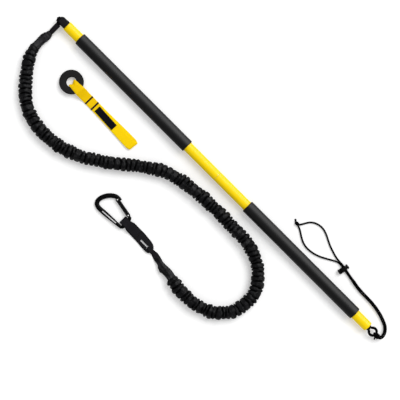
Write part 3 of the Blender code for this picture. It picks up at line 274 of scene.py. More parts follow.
def applied(made, kind, **settings):
    modifier = made.modifiers.new(kind.lower(), kind)
    for key, value in settings.items():
        setattr(modifier, key, value)
    only(made)
    bpy.ops.object.modifier_apply(modifier=modifier.name)


def cutBy(made, cutter):
    applied(made, "BOOLEAN", operation="DIFFERENCE", solver="EXACT", object=cutter)
    bpy.data.objects.remove(cutter, do_unlink=True)


def picked(made, kind, test):
    # selects the faces or edges that pass a test, in edit mode
    bpy.ops.mesh.select_mode(type=kind)
    bpy.ops.mesh.select_all(action="DESELECT")
    shape = bmesh.from_edit_mesh(made.data)
    for item in shape.faces if kind == "FACE" else shape.edges:
        item.select_set(test(item))
    bmesh.update_edit_mesh(made.data)


def foamRing(name, sides, radius, bore, length, insets, cuts, bevels):
    # a thick ring about Z; each bevel is a radius, an offset and its segments
    made = primitive("cylinder", name, vertices=sides, radius=radius, depth=length)
    bpy.ops.object.mode_set(mode="EDIT")
    picked(made, "FACE", lambda face: abs(face.normal.z) > .9)
    for _ in range(insets):
        bpy.ops.mesh.inset(thickness=(radius - bore) / insets)
    bpy.ops.mesh.bridge_edge_loops()
    for z in cuts:
        bpy.ops.mesh.select_all(action="SELECT")
        bpy.ops.mesh.bisect(plane_co=(0, 0, z), plane_no=(0, 0, 1))
    for rim, offset, segments in bevels:
        def onRim(edge):
            a, b = (vert.co for vert in edge.verts)
            return abs(a.z - b.z) < 1e-5 and abs(abs(a.z) - length / 2) < 1e-5 and all(
                abs(math.hypot(p.x, p.y) - rim) < .0003 for p in (a, b))

        picked(made, "EDGE", onRim)
        bpy.ops.mesh.bevel(offset=offset, segments=segments, profile=.5)
    bpy.ops.object.mode_set(mode="OBJECT")
    return made


# Route of the band from its hitch at the bar to its hitch at the carabiner's strap, measured
# from the bar's middle. A third number is the height of its middle there.
bandRoute = Route(fromBar([(-.5357, -.011, .01605), (-.5357, -.02, .0152), (-.536, -.03, .0124),
    (-.5365, -.04, .0098), (-.537, -.05, .0085), (-.5375, -.06, .0082), (-.538, -.072, .0092),
    (-.538, -.0838, .0122), (-.537, -.0952, .0154), (-.5329, -.1086, .0164), (-.5232, -.1274, .0163),
    (-.508, -.149), (-.4899, -.1709), (-.464, -.197), (-.4316, -.2156), (-.395, -.224), (-.355, -.225),
    (-.311, -.217), (-.268, -.2), (-.226, -.174), (-.187, -.145), (-.147, -.113), (-.106, -.087),
    (-.065, -.072), (-.022, -.065), (.02, -.061), (.062, -.06), (.106, -.061), (.149, -.062),
    (.186, -.068), (.219, -.083), (.246, -.106), (.264, -.136), (.268, -.171), (.259, -.206), (.238, -.233),
    (.208, -.251), (.171, -.26), (.135, -.261, .0163), (.112, -.2585, .0164), (.097, -.256, .0152),
    (.084, -.254, .012), (.071, -.2525, .0092), (.058, -.2505, .008), (.048, -.2485, .0066),
    (.039, -.2465, .0036), (.031, -.2445, .0016), (.022, -.2433, .0013)], .0162))

# Route of the doubled wrist cord, from its hitch to the lock
doubleRoute = Route(fromBar([(.5499, 0, .01605), (.5532, 0, .01605), (.5583, .0016, .0148),
    (.561, .007, .0118), (.5605, .015, .0084), (.5565, .023, .0054), (.549, .0305, .0037),
    (.538, .036, .0033), (.521, .042), (.5, .0465), (.478, .0485), (.456, .0488), (.436, .0502, .0042),
    (.418, .05318, .0054), (.404, .05564, .0054), (.3911, .05792, .0054), (.3793, .06, .0054),
    (.3675, .06208, .0054)], .0032))

# Routes of its two strands from the lock round the wrist loop to the knot
upperRoute = Route(fromBar([(.3678, .0637, .00635), (.357, .064, .0046), (.344, .066, .0019), (.33, .07),
    (.316, .075), (.303, .081), (.29, .0875), (.276, .092), (.262, .092), (.249, .0875), (.24, .0805),
    (.234, .0715), (.2295, .0635, .0019), (.2253, .0578, .0036)], .0015))
lowerRoute = Route(fromBar([(.3672, .06046, .00445), (.357, .0598, .0028), (.344, .0535), (.33, .0455),
    (.315, .038), (.298, .0328), (.28, .031), (.264, .034), (.25, .041), (.2385, .0485),
    (.2305, .0525, .0019), (.2253, .0542, .0036)], .0015))


# Shader helpers

finishes = {}  # each slot's material


class Wire:
    # a socket that can be used in a sum; each operator adds its Math node
    def __init__(self, finish, socket):
        self.finish = finish
        self.socket = socket

    __add__ = __radd__ = lambda self, other: self.finish.maths("ADD", self, other)
    __mul__ = __rmul__ = lambda self, other: self.finish.maths("MULTIPLY", self, other)
    __sub__ = lambda self, other: self.finish.maths("SUBTRACT", self, other)
    __rsub__ = lambda self, other: self.finish.maths("SUBTRACT", other, self)
    __truediv__ = lambda self, other: self.finish.maths("DIVIDE", self, other)
    __pow__ = lambda self, other: self.finish.maths("POWER", self, other)


class Finish:
    # one material, or the world, built up node by node
    def __init__(self, name, slot, kind="materials", shader="Principled BSDF", **plain):
        self.made = finishes[slot] = getattr(bpy.data, kind).new(name)
        self.made.use_nodes = True
        self.tree = self.made.node_tree
        self.shader = self.tree.nodes[shader]
        self.place = self.node("TexCoord", out=3)
        self.set(**plain)

    def node(self, kind, sockets=None, out=0, **settings):
        made = self.tree.nodes.new("ShaderNode" + kind)
        for key, value in settings.items():
            setattr(made, key, value)
        for key, value in (sockets or {}).items():
            self.plug(made.inputs[key], value)
        return Wire(self, made.outputs[out])

    def plug(self, socket, value):
        if isinstance(value, Wire):
            self.tree.links.new(value.socket, socket)
        elif hasattr(value, "__len__") and len(value) == 3 and socket.type == "RGBA":
            socket.default_value = (*value, 1)
        else:
            socket.default_value = value

    def set(self, **sockets):
        for key, value in sockets.items():
            self.plug(self.shader.inputs[key.replace("_", " ")], value)

    def maths(self, operation, a, b=.5):
        return self.node("Math", {0: a, 1: b}, operation=operation)

    def split(self, vector):
        made = self.node("SeparateXYZ", {0: vector})
        return [Wire(self, socket) for socket in made.socket.node.outputs]

    def cloth(self):
        # metres round and along a piece's own surface
        return self.split(self.node("UVMap", uv_map="cloth"))[:2]

    def crest(self):
        # painted light, read from the crest attribute
        return self.node("Attribute", out=2, attribute_name="crest")

    def noise(self, scale, detail=3, roughness=.5, spot=None):
        # a scale in three parts draws it out
        spot = spot or self.place
        if hasattr(scale, "__len__"):
            spot = self.node("Mapping", {"Vector": spot, "Scale": scale})
            scale = 1.0
        return self.node("TexNoise", {"Vector": spot, "Scale": scale, "Detail": detail,
                                      "Roughness": roughness})

    def creases(self, across, along):
        return self.noise(1.0, 3, .6, self.node("CombineXYZ", {0: across, 1: along}))

    def pores(self, scale, wide):
        cells = self.node("TexVoronoi", {"Vector": self.place, "Scale": scale})
        return self.step(cells, .05, wide)

    def mix(self, share, a, b):
        return self.node("Mix", {0: share, 6: a, 7: b}, 2, data_type="RGBA")

    def step(self, value, low, high):
        return self.node("MapRange", {0: value, 1: low, 2: high}, interpolation_type="SMOOTHSTEP")

    def within(self, value, low, full, fall, high):
        return self.step(value, low, full) * (1 - self.step(value, fall, high))

    def bump(self, height, distance, strength, under=None):
        sockets = {"Height": height, "Distance": distance, "Strength": strength}
        if under:
            sockets["Normal"] = under
        return self.node("Bump", sockets)

    def colour(self, share, dark, light, *layers):
        # each layer is a share and the colour that it lays over the rest
        mixed = self.mix(share, dark, light)
        for share, tint in layers:
            mixed = self.mix(share, mixed, tint)
        self.set(Base_Color=mixed)

    def surface(self, roughness, *bump):
        self.set(Roughness=roughness, Normal=self.bump(*bump))

    def hump(self, value):
        # 0 to 1 to 0 over each whole number
        return self.maths("ABSOLUTE", self.maths("SINE", value * math.pi))

    def seen(self):
        # 1 for what the camera sees, straight or in a reflection
        outputs = self.node("LightPath").socket.node.outputs
        rays = [Wire(self, outputs[f"Is {kind} Ray"]) for kind in ("Camera", "Glossy", "Transmission")]
        return self.maths("MAXIMUM", self.maths("MAXIMUM", rays[0], rays[1]), rays[2])


def plainWeave(f, across, along, pitch):
    # over and under threads of a plain cloth
    a, b = across / pitch, along / pitch
    over = f.maths("SINE", a * math.pi) * f.maths("SINE", b * math.pi)
    return f.hump(a) * .35 + f.hump(b) * .35 + over * .3


def webbingWeave(f, across, along, rib, stitch):
    # ribs along the strap, each of slanted stitches that change side from rib to rib
    row = across / rib
    whole = f.maths("FLOOR", row)
    odd = f.maths("MODULO", whole, 2.0)
    slant = (row - whole) * (odd * 2 - 1) * .55
    return f.hump(row) * .55 + f.hump(along / stitch + slant + odd * .5) * .45


def braidWeave(f, across, along, girth, strands, lay):
    # two sets of strands that cross round a cord
    turn = across * (strands / girth)
    run = along * (strands / lay)
    return f.maths("MAXIMUM", f.hump(turn + run) * f.hump((turn - run) * .5),
                   f.hump(turn - run) * f.hump((turn + run) * .5 + .5))


# Finishes

f = Finish("yellowPaint", "yellow_paint", Coat_Roughness=.2, IOR=1.14)
far = f.maths("ABSOLUTE", f.split(f.place)[0])
drift = f.noise(14)
marks = f.step(f.noise((22, 420, 420), 4, .6), .66, .8)
rim = f.step(far + (f.noise(420, 2) - .5) * .0016, .5182, .5203)
seam = 1 - f.step(far, .0002, .0012)
f.colour(drift, (.94, .66, .0015), (1.0, .715, .003), (marks * .12, (.66, .47, .02)),
         (rim * .3 + seam * .4, (.42, .31, .03)))
under = f.bump(f.noise(260, 2), .00006, .5)
f.surface(.34 + drift * .1 + marks * .2, marks, -.00004, .6, under)
f.set(Coat_Weight=.06 - marks * .05)

f = Finish("gripFoam", "grip_foam", IOR=1.21)
grain = f.noise(950, 4, .65)
rub = f.step(f.noise((35, 160, 160), 4, .6), .6, .75)
f.colour(f.noise(18, 4), (.0005, .0005, .0007), (.0016, .0016, .0019),
         (rub * .25, (.011, .011, .0115)))
f.surface(.46 + grain * .1 + rub * .08, grain * .6 + f.pores(520, .32) * .4, .00012, .5)

f = Finish("anchorFoam", "anchor_foam", IOR=1.14)
grain = f.noise(700, 4, .65)
pores = f.pores(380, .4)
f.colour(f.noise(45), (.0064, .006, .0064), (.014, .0132, .0136),
         ((1 - pores) * .5, (.004, .004, .004)))
f.surface(.66 + grain * .14, grain * .5 + pores * .5, .00022, .8)

f = Finish("mouldedPlastic", "black_plastic", IOR=1.15)
grain = f.noise(1600, 3, .6)
scuff = f.step(f.noise(240, 5, .7), .58, .74)
f.colour(f.noise(60), (.0002, .0002, .0003), (.001, .001, .0012),
         (scuff * .2, (.014, .014, .015)))
f.surface(.16 + grain * .1 + scuff * .15, grain, .00007, .5)

f = Finish("braidedCord", "black_cord", IOR=1.06)
braid = braidWeave(f, *f.cloth(), .0099, 8, .0105)
fuzz = f.noise(1500, 3, .7)
f.colour(braid, (.0002, .0002, .0003), (.0018, .0018, .0021),
         (f.noise(90) * .25, (.003, .003, .0033)))
f.surface(.62 + fuzz * .18, braid + fuzz * .12, .00018, .8)

f = Finish("ruffleFabric", "sleeve_fabric", IOR=1.125)
across, along = f.cloth()
crest = f.crest()
# drift also places pale spots on the crests, which are painted glints, and varies the roughness
drift = f.noise(95, 4, .6)
# painted shade in the creases, rising to a painted highlight on the crests
f.colour(crest ** 2.6, (.0002, .0002, .0003), (.0032, .0032, .0038),
         (f.step(drift, .52, .72) * crest * .8, (.019, .019, .0205)))
folds = f.bump(f.creases(across * 55, along * 210), .0018, .8)
weave = plainWeave(f, across, along, .00055)
f.surface(.5 + drift * .14 - crest * .16, weave, .00012, .7, folds)

f = Finish("cuffFabric", "cuff_fabric", Sheen_Weight=.01, Sheen_Roughness=.35, IOR=1.14)
across, along = f.cloth()
drift = f.noise(70, 4, .6)
seam = f.within(along, .0068, .0074, .0086, .0092)
stitch = f.step(f.hump(across / .0026), .35, .55) * seam
f.colour(f.step(drift, .35, .65), (.001, .001, .0013), (.0125, .0125, .0145),
         (stitch * .7, (.03, .03, .032)))
folds = f.bump(f.creases(across * 260, along * 70), .0007, .6)
under = f.bump(plainWeave(f, across, along, .0005), .0001, .6, folds)
f.surface(.38 + drift * .12, stitch - seam * .4, .0003, .8, under)

f = Finish("blackWebbing", "black_webbing", IOR=1.09)
weave = webbingWeave(f, *f.cloth(), .0011, .0017)
fuzz = f.noise(1300, 3, .7)
# painted shade darkens the black webbing where the crest attribute is set: at each strip's edges, and all
# over the head strap's hitch
f.colour(weave, (.0014, .0013, .0016), (.015, .0139, .017),
         (f.noise(60, 4, .6) * .3, (.014, .0131, .0155)),
         (f.crest() ** .8 * .85, (.0006, .0006, .0008)))
f.surface(.6 + fuzz * .16, weave + fuzz * .12, .00028, .85)

f = Finish("yellowWebbing", "yellow_webbing", IOR=1.11)
across, along = f.cloth()
weave = webbingWeave(f, across, along, .0012, .0018)
fuzz = f.noise(1300, 3, .7)
middle = f.step(f.hump(across / .0288), .25, .85)
streak = f.step(f.creases(across * 420, along * 26), .5, .72)
# painted shade: darker orange over the stretch from the disc's hole down its slope, where the strap turns
# from the light
eye = f.within(along, .062, .07, .146, .17)
f.colour(weave, (.92, .56, .0008), (1.0, .78, .0014), (middle * .45, (1.0, .64, .0008)),
         (streak * .3 + f.noise(40) * .2, (1.0, .6, .0008)), (eye * .5, (.8, .47, .0006)))
f.surface(.66 + fuzz * .14, weave + fuzz * .12, .0003, .7)

# the floor of the carabiner's groove is painted pale grey and half metallic, a painted reflection of the
# light in that recess
f = Finish("blackAnodised", "black_anodised", IOR=1.1)
paintedGrooveGlint = f.crest()
fine = f.noise(900, 3, .6)
grain = f.noise((140, 2600, 140), 3, .6)
scuff = f.step(f.noise(190, 6, .75), .62, .74)
f.colour(fine, (.0003, .0003, .0004), (.0012, .0012, .0015),
         (scuff * .12, (.02, .02, .022)),
         (paintedGrooveGlint, f.mix(grain, (.5, .5, .5), (.74, .74, .75))))
f.surface(.3 + fine * .1 + scuff * .15 + paintedGrooveGlint * .1, grain, .00003, .35)
f.set(Metallic=paintedGrooveGlint * .5)

f = Finish("rivetSteel", "steel", Metallic=1.0)
fine = f.noise(1500, 3, .6)
f.colour(f.noise(210, 4, .6), (.5, .5, .49), (.74, .74, .73))
f.surface(.26 + fine * .18, fine, .00002, .4)

f = Finish("tackThread", "black_thread", IOR=1.15)
x, y, z = f.split(f.place)
twist = f.hump(x * 2600 + y * 1900)
f.colour(twist, (.0012, .0007, .0007), (.006, .0035, .0035))
f.surface(.5 + f.noise(900) * .15, twist, .00005, .6)

f = Finish("labelCloth", "label", IOR=1.1)
across, along = f.cloth()
weave = plainWeave(f, across, along, .00036)
edge = f.within(f.maths("ABSOLUTE", across), .0072, .0075, .0079, .0082)
stitch = f.step(f.hump(along / .0022), .3, .5) * edge
f.colour(weave, (.0008, .0008, .0016), (.003, .003, .0052),
         (stitch * .8, (.016, .016, .024)))
f.surface(.5 + f.noise(300) * .15, weave + stitch * .8, .00012, .7)

f = Finish("elasticRubber", "elastic", IOR=1.45)
drift = f.noise(60, 4)
f.colour(drift, (.3, .19, .08), (.42, .29, .14))
f.surface(.42 + drift * .2, f.noise(700), .0001, .5)


def finished(piece, body, slot, node, angle=None):
    if angle:
        smooth(piece, angle)
    piece.data.materials.clear()
    piece.data.materials.append(finishes[slot])
    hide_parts(node)
    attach(piece, body)
    return piece


def repaint(slot, *names):
    for name in names:
        for used in nodes[name].material_slots:
            used.material = finishes[slot]


print("finishes")


# The gathered sleeve of the band

sleeve = {
    "start": .092,  # of its mouth, along the route
    "stop": .084,  # back from the route's end
    "overHead": .0085,  # how far it reaches over each cuff
    "overTail": .0055,
    "crest": .0167,
    "valley": .0109,
    "crease": .0033,  # half width of a crease
    "pitch": .0114,
    "uneven": (.68, 1.32),  # shortest and longest gather, of the pitch
    "sway": (.0006, .0026),  # least and most that a crease runs askew round the sleeve
    "stray": .0024,  # and wanders besides
    "apart": .0034,  # least distance between two creases
    "taller": (-.0015, .0009),  # lowest and highest crest, beside the usual one
    "swell": .0027,  # how a crest's height changes round the sleeve
    "depth": (.22, .86, 1.5),  # of a crease: least share, usual share, its change round the sleeve
    "shoulder": .0009,  # how far a gather falls towards its creases
    "flatter": (.008, .0034, .0075),  # how far short gathers stay down, shortest and longest of them
    "wrinkles": [(90, .0009), (260, .0006)],  # how fine, height
    "slimHead": (.19, .046),  # share and length of the narrowing at each mouth
    "slimTail": (.12, .022),
    "knob": .005,  # a knob's size along the sleeve
    "bore": .01,
    "mouthBore": .0122,
    "around": 56,
    "spacing": .00092,
    "seed": 11,
    # knobs of bunched cloth by the mouths: distance inwards from the mouth, degrees, height
    "headKnobs": [(.005, 20, .0004), (.014, 170, .0018), (.026, 350, .0005)],
    "tailKnobs": [(.002, 10, .0012), (.008, 175, .002), (.017, 350, .0014)],
}
sleeveStart = sleeve["start"]
sleeveEnd = bandRoute.length - sleeve["stop"]


def creaseLines(first, last):
    # for each angle: the angle, where each crease crosses it, how deep, how high the crests are
    chance = random.Random(sleeve["seed"])
    spots = [first]
    while spots[-1] < last - 1.5 * sleeve["pitch"]:
        spots.append(spots[-1] + sleeve["pitch"] * chance.uniform(*sleeve["uneven"]))
    spots.append(last)
    sway = [chance.uniform(*sleeve["sway"]) for _ in spots]
    lean = [chance.uniform(0, 2 * math.pi) for _ in spots]
    size = [sleeve["crest"] + chance.uniform(*sleeve["taller"]) for _ in spots]
    least, usual, change = sleeve["depth"]
    lines = []
    for angle in angles(sleeve["around"]):
        c, sn = math.cos(angle), math.sin(angle)
        row, deep = [first], [1.0]
        for k in range(1, len(spots) - 1):
            spot = Vector((c * 1.2, sn * 1.2, k * 3.7))
            moved = spots[k] + sway[k] * math.sin(angle + lean[k]) + sleeve["stray"] * noise.noise(spot)
            row.append(max(moved, row[-1] + sleeve["apart"]))
            deep.append(min(1, max(least, usual + change * noise.noise(spot + Vector((9, 0, 0))))))
        high = [size[k] + sleeve["swell"] * rough(c * 1.6, sn * 1.6, k * 5.3) for k in range(len(spots))]
        lines.append((angle, row + [last], deep + [1.0], high))
    return lines


def ruffle(s, row, deep, high):
    # radius and closeness to a crest, at s on one line along the sleeve
    k = min(max(bisect.bisect_right(row, s) - 1, 0), len(row) - 2)
    before, after = s - row[k], row[k + 1] - s
    wide = sleeve["crease"]
    near = min(before, after)
    other = high[k - 1] if before < after else high[k + 1]
    crest = high[k] + (other - high[k]) * .5 * (1 - ease(0, 2 * wide, near))
    pull = max(deep[k] * max(0, 1 - before / wide) ** 1.7,
               deep[k + 1] * max(0, 1 - after / wide) ** 1.7)
    t = before / (before + after)
    crest -= sleeve["shoulder"] * abs(2 * t - 1) ** 2.5
    down, short, long = sleeve["flatter"]
    crest -= down * t * (1 - t) * (1 - ease(short, long, before + after))
    return crest - (crest - sleeve["valley"]) * pull, (1 - pull) * (1 - .35 * abs(2 * t - 1) ** 3)


def bandSleeve():
    first = sleeveStart - sleeve["overHead"]
    last = sleeveEnd + sleeve["overTail"]
    lines = creaseLines(first, last)
    knobs = [(first + d, math.radians(a), h) for d, a, h in sleeve["headKnobs"]]
    knobs += [(last - d, math.radians(a), h) for d, a, h in sleeve["tailKnobs"]]
    mouth = sleeve["mouthBore"]
    rings, marks, shade = [], [], []
    for s in steps(first, last, sleeve["spacing"]):
        point, side, up = bandRoute.frame(s)
        taper = ease(first - .5 * mm, first + 3 * mm, s)
        taper *= 1 - ease(last - 3 * mm, last + .5 * mm, s)
        slim = 1
        for (share, length), inwards in ((sleeve["slimHead"], s - first), (sleeve["slimTail"], last - s)):
            slim -= share * (1 - ease(0, length, inwards))
        ring = []
        for angle, row, deep, high in lines:
            r, crest = ruffle(s, row, deep, high)
            for middle, turn, height in knobs:
                if abs(s - middle) < .012:
                    apart = (1 - math.cos(angle - turn)) * 5 + ((s - middle) / sleeve["knob"]) ** 2
                    r += height * math.exp(-apart)
            out = side * math.cos(angle) + up * math.sin(angle)
            where = point + out * r
            r += sum(height * noise.noise(where * fine) for fine, height in sleeve["wrinkles"])
            r *= slim
            r = r * taper + (mouth + .0008) * (1 - taper)
            ring.append(onFloor(point + out * r, .0003))
            # closeness to a crest, for painted shade in the creases and a painted highlight on the crests,
            # with less highlight at the mouths
            shade.append(min(1, max(0, crest * (.3 + .7 * taper))))
        rings.append(ring)
        marks.append(s * 1.5)
    for s in reversed(steps(first, last, .008)):
        point, side, up = bandRoute.frame(s)
        deepIn = min(s - sleeveStart, sleeveEnd - s)
        r = mouth + (sleeve["bore"] - mouth) * ease(.002, .012, deepIn)
        rings.append([point + (side * c + up * sn) * r for c, sn in circle(sleeve["around"])])
        shade += [0.0] * sleeve["around"]
        marks.append(s * 1.5)
    made = skin("bandSleeve", rings, marks + [first * 1.5], .1, True, shade)
    finished(made, "band", "sleeve_fabric", "band_sleeve", 80)
    return made, [bandRoute.at(s) for s in steps(first, last, .006)]


def bandCore():
    beyond = .027  # to the clamps
    points = [bandRoute.at(s) for s in steps(sleeveStart - beyond, sleeveEnd + beyond, .008)]
    made = cordTube("bandCore", points, .0045, 16)
    return finished(made, "band", "elastic", "band_core"), points


ruffled, ruffledPath = bandSleeve()
core, corePath = bandCore()
print("sleeve", len(ruffled.data.polygons))


# Cuffs at both ends of the sleeve

cuffs = {
    "length": {"head": .062, "tail": .071},
    "wall": .0009,
    "around": 56,
    "gathers": 13,  # round the mouth
    "gathered": (.002, .026),  # distance from the sleeve where they fade out
    "flat": (.04, .06),  # where the cloth settles on the strap
    # heights of broad folds, small folds, ridges and gathers
    "heights": (.0007, .0005, .0006, .0009),
    # distance from the sleeve, half widths to each side, height
    "head": [(0, .0117, .0117, .0232), (.007, .011, .0112, .0192), (.017, .0106, .0108, .0162),
        (.023, .0106, .01, .015), (.034, .0116, .0097, .0142), (.042, .0124, .0104, .0132),
        (.05, .0108, .011, .0112), (.056, .008, .0094, .008), (.062, .0072, .0074, .0054)],
    "tail": [(0, .0117, .0116, .0232), (.008, .0112, .009, .0192), (.019, .0118, .0092, .0162),
        (.03, .0114, .0106, .015), (.036, .0104, .0128, .0142), (.046, .0086, .0112, .0124),
        (.053, .008, .0076, .0092), (.062, .0084, .008, .006), (.067, .0086, .0084, .005),
        (.071, .0079, .0078, .004)],
}


def cuff(end, mouth, way, seed):
    length = cuffs["length"][end]
    broad, small, ridges, gathers = cuffs["heights"]
    outer, inner, marks = [], [], []
    for d in steps(.0003, length, .0012):
        left, right, high = between(cuffs[end], d)
        point, side, up = bandRoute.frame(mouth + way * d)
        ringOut, ringIn = [], []
        gather = 1 - ease(*cuffs["gathered"], d)
        flat = ease(*cuffs["flat"], d)
        closing = .45 * ease(length - .003, length, d)
        for a in angles(cuffs["around"]):
            c, sn = math.cos(a), math.sin(a)
            x = (left if c > 0 else right) * math.copysign(abs(c) ** .8, c)
            z = high / 2 * math.copysign(abs(sn) ** .8, sn)
            fold = rough(c * 3.2, sn * 3.2, d * 16 + seed)
            ridge = ridged(c * 2.1 + d * 30, sn * 2.1, d * 40 + seed * 2)
            push = broad * fold + small * rough(c * 1.6, sn * 1.6, d * 42 + seed)
            push += ridges * (ridge - .5) * (1 - flat)
            push += gathers * gather * math.cos(cuffs["gathers"] * a + 3 * fold)
            push *= ease(0, .003, d) * (1 - .6 * flat)
            size = math.hypot(x, z)
            spoke = side * x + up * z
            grow = (size + push - cuffs["wall"] * closing) / size
            ringOut.append(onFloor(point + spoke * grow))
            less = (size + min(push, 0) - cuffs["wall"]) / size
            ringIn.append(onFloor(point + spoke * less, .0005))
        outer.append(ringOut)
        inner.append(ringIn)
        marks.append(d)
    marks += marks[::-1] + [.0003]
    made = skin(f"{end}Cuff", outer + inner[::-1], marks, .056, True)
    return finished(made, "band", "cuff_fabric", f"band_{end}_cuff", 70)


headCuff = cuff("head", sleeveStart, -1, 3.0)
tailCuff = cuff("tail", sleeveEnd, 1, 8.0)
print("cuffs")


# Webbing straps. A strip follows a line in its own length and height, and is read across
# from one edge to the other.

def stripRing(point, side, up, width, thick, cup):
    # one section of webbing: flat with rounded edges, lifted at its edges by cup
    half = width / 2
    top, low = [], []
    for k in range(9):
        y = half * (k / 4 - 1) * (1 - thick * .35 / half)
        lift = cup * (y / half) ** 2
        rise = thick / 2 * (1 if 0 < k < 8 else .62)
        top.append(point + side * y + up * (lift + rise))
        low.append(point + side * y + up * (lift - rise))
    right = point + side * half + up * cup
    left = point - side * half + up * cup
    return top + [right] + low[::-1] + [left]


def alongStrip(name, stations, thick, width, loop=False):
    # both faces carry the same ribs, measured across the strip
    rings = [stripRing(*station) for station in stations]
    points = [station[0] for station in stations]
    marks = running(points + points[:1] if loop else points)
    around = [width / 8] * 8 + [thick] * 2
    # the strip's edges carry painted shade, which darkens them in the black webbing
    rim = [1.0] + [0.0] * 7 + [1.0, 1.0]
    return skin(name, rings, marks, around * 2, loop, rim * 2 * len(rings))


def lineStations(line, spacing, placeAt, thick, closed=False):
    # stations of a strip whose line is given as (x, height)
    # placeAt gives a point's shift sideways, and the width, skew and cup there
    route = Route([(x, 0, z) for x, z in line], 8, closed)
    found = []
    marks = steps(0, route.length, spacing)
    for s in marks[:-1] if closed else marks:
        ahead, back = s + .0004, s - .0004
        if closed:
            ahead, back = ahead % route.length, back % route.length
        up = (route.at(ahead) - route.at(back)).normalized().cross(sideways)
        point = route.at(s)
        y, width, skew, cup = placeAt(point)
        side = Vector((skew, 1, 0)).normalized()
        found.append((point + sideways * y, side, up, width, thick, cup))
    return found


narrowStrap = {
    "thick": .0023,
    "clamp": .031,  # from the sleeve to the clamp's far end
    # distance from the strap's free end, and width; the widest part is outside the cuff
    "head": [(0, .0132), (.006, .0136), (.024, .0134), (.029, .0114), (.054, .0112), (.061, .008)],
    "tail": [(0, .0128), (.006, .0158), (.016, .0168), (.022, .0148), (.032, .0116), (.054, .0112),
        (.061, .008)],
}


def ribbonAlong(end, start, stop):
    stations = []
    for s in steps(start, stop, .0015):
        free = s - start if end == "head" else stop - s
        cup = .0008 * math.sin(free * 110) * (1 - ease(.03, .04, free))
        width = between(narrowStrap[end], free)[0]
        stations.append((*bandRoute.frame(s), width, narrowStrap["thick"], cup))
    return alongStrip("ribbon", stations, narrowStrap["thick"], .0134)


hitch = {
    "cord": .0026,  # radius of the bar's loop cord
    "ring": .0076,  # radius of the loop
    "clear": .0004,
    "middle": -134,  # degrees, where the wraps are thickest
    "arc": 70,  # degrees to each side of that
    # the folds over and under the loop: distance from its centre, height
    "folds": [(.0004, .0071), (.0024, .007), (.0046, .0067), (.0065, .0061), (.0081, .0053),
        (.0093, .0044), (.0099, .0037), (.0097, .0031), (.008, .0031), (.006, .0031), (.0043, .003),
        (.004, .0022), (.004, -.0022), (.0043, -.003), (.006, -.0031), (.008, -.0031), (.0097, -.0031),
        (.0098, -.0037), (.009, -.0047), (.007, -.0058), (.004, -.0064), (.0004, -.0065)],
}
hitchMiddle = Vector((-loopX, barY, axisZ))


def webbingHitch():
    # webbing bunched round the outer half of the loop, from the strap's side on
    bore = hitch["cord"] + hitch["clear"]
    outer, inner = [], []
    for i in range(49):
        t = i / 24 - 1
        a = math.radians(hitch["middle"] - hitch["arc"] * t)
        out = Vector((math.cos(a), math.sin(a), 0))
        middle = hitchMiddle + out * hitch["ring"]
        wrap = abs(math.sin(math.pi * 2.5 * t + .6))
        ringOut = []
        for c, sn in circle(28):
            wall = .0011 + .0008 * wrap + .0015 * max(0, c) ** 2 * (.6 + .5 * wrap)
            wall += .0009 * max(0, sn)
            wall += .0004 * rough(c * 2, sn * 2, t * 6)
            wall *= 1 - .75 * ease(.62, 1.0, abs(t))
            wall = min(wall, .0012) if c < -.5 else wall
            ringOut.append(middle + (out * c + upwards * sn) * (bore + wall))
        outer.append(ringOut)
        inner.append([middle + (out * c + upwards * sn) * bore for c, sn in circle(28)])
    # the whole hitch carries painted shade, darker than the strap
    marks = [i * .0005 for i in range(49)]
    return skin("wraps", outer + inner[::-1], marks + marks[::-1] + [0.0], .03, True,
                [1.0] * (28 * 2 * 49))


def hitchFolds():
    # cloth folded over and under the loop and through its eye
    rings = []
    for r, z in hitch["folds"]:
        ring = []
        for c, sn in circle(72):
            far, high = r, z
            if abs(z) > .0032:
                fold = ridged(c * r * 130 + 3, sn * r * 330, 1.5)
                high += math.copysign(.0011 * fold * (r / .01 + .25), z)
                high = math.copysign(max(abs(high), .0034), z)
                far *= min(1, .955 + .06 * rough(c * 1.6, sn * 1.6, 5 + z * 99))
            ring.append(hitchMiddle + Vector((c * far, sn * far, high)))
        rings.append(ring)
    # the folds carry painted shade too, darker than the strap
    marks = [i * .002 for i in range(len(rings))]
    return skin("folds", rings, marks, .06, False, [1.0] * (72 * len(rings)))


def hitchFlap():
    # the fold that lies over the plug and the rim of the tube: along, height, width, cup
    places = [(-.0045, .0066, .013, 0), (-.001, .0078, .0165, -.0006), (.0025, .0088, .019, -.0014),
        (.006, .0094, .0202, -.002), (.0092, .01, .0208, -.0024), (.0122, .0114, .0212, -.003),
        (.0146, .013, .0214, -.0042), (.0168, .014, .0208, -.005), (.0184, .0141, .019, -.0044),
        (.019, .0139, .0165, -.0028)]
    thick = .0019
    made = alongStrip("flap", [(hitchMiddle + Vector((x, 0, z)), sideways, upwards, width, thick, cup)
                               for x, z, width, cup in places], thick, .0196)
    for vert in made.data.vertices:
        x, y, z = vert.co - hitchMiddle
        free = 1 - ease(.012, .016, x)
        vert.co.z += (.0008 * ridged(x * 110, y * 160, 7) * free + .0002) * ease(-.004, .001, x)
        if abs(y) > .004:
            vert.co.y += .0011 * rough(x * 190, math.copysign(2, y), 3) * free
    return made


def headStrap():
    tip = sleeveStart - narrowStrap["clamp"] + .0021
    made = joined("headStrap", [ribbonAlong("head", .0006, tip), webbingHitch(), hitchFolds(),
                                hitchFlap()])
    finished(made, "band", "black_webbing", "band_head_strap", 45)


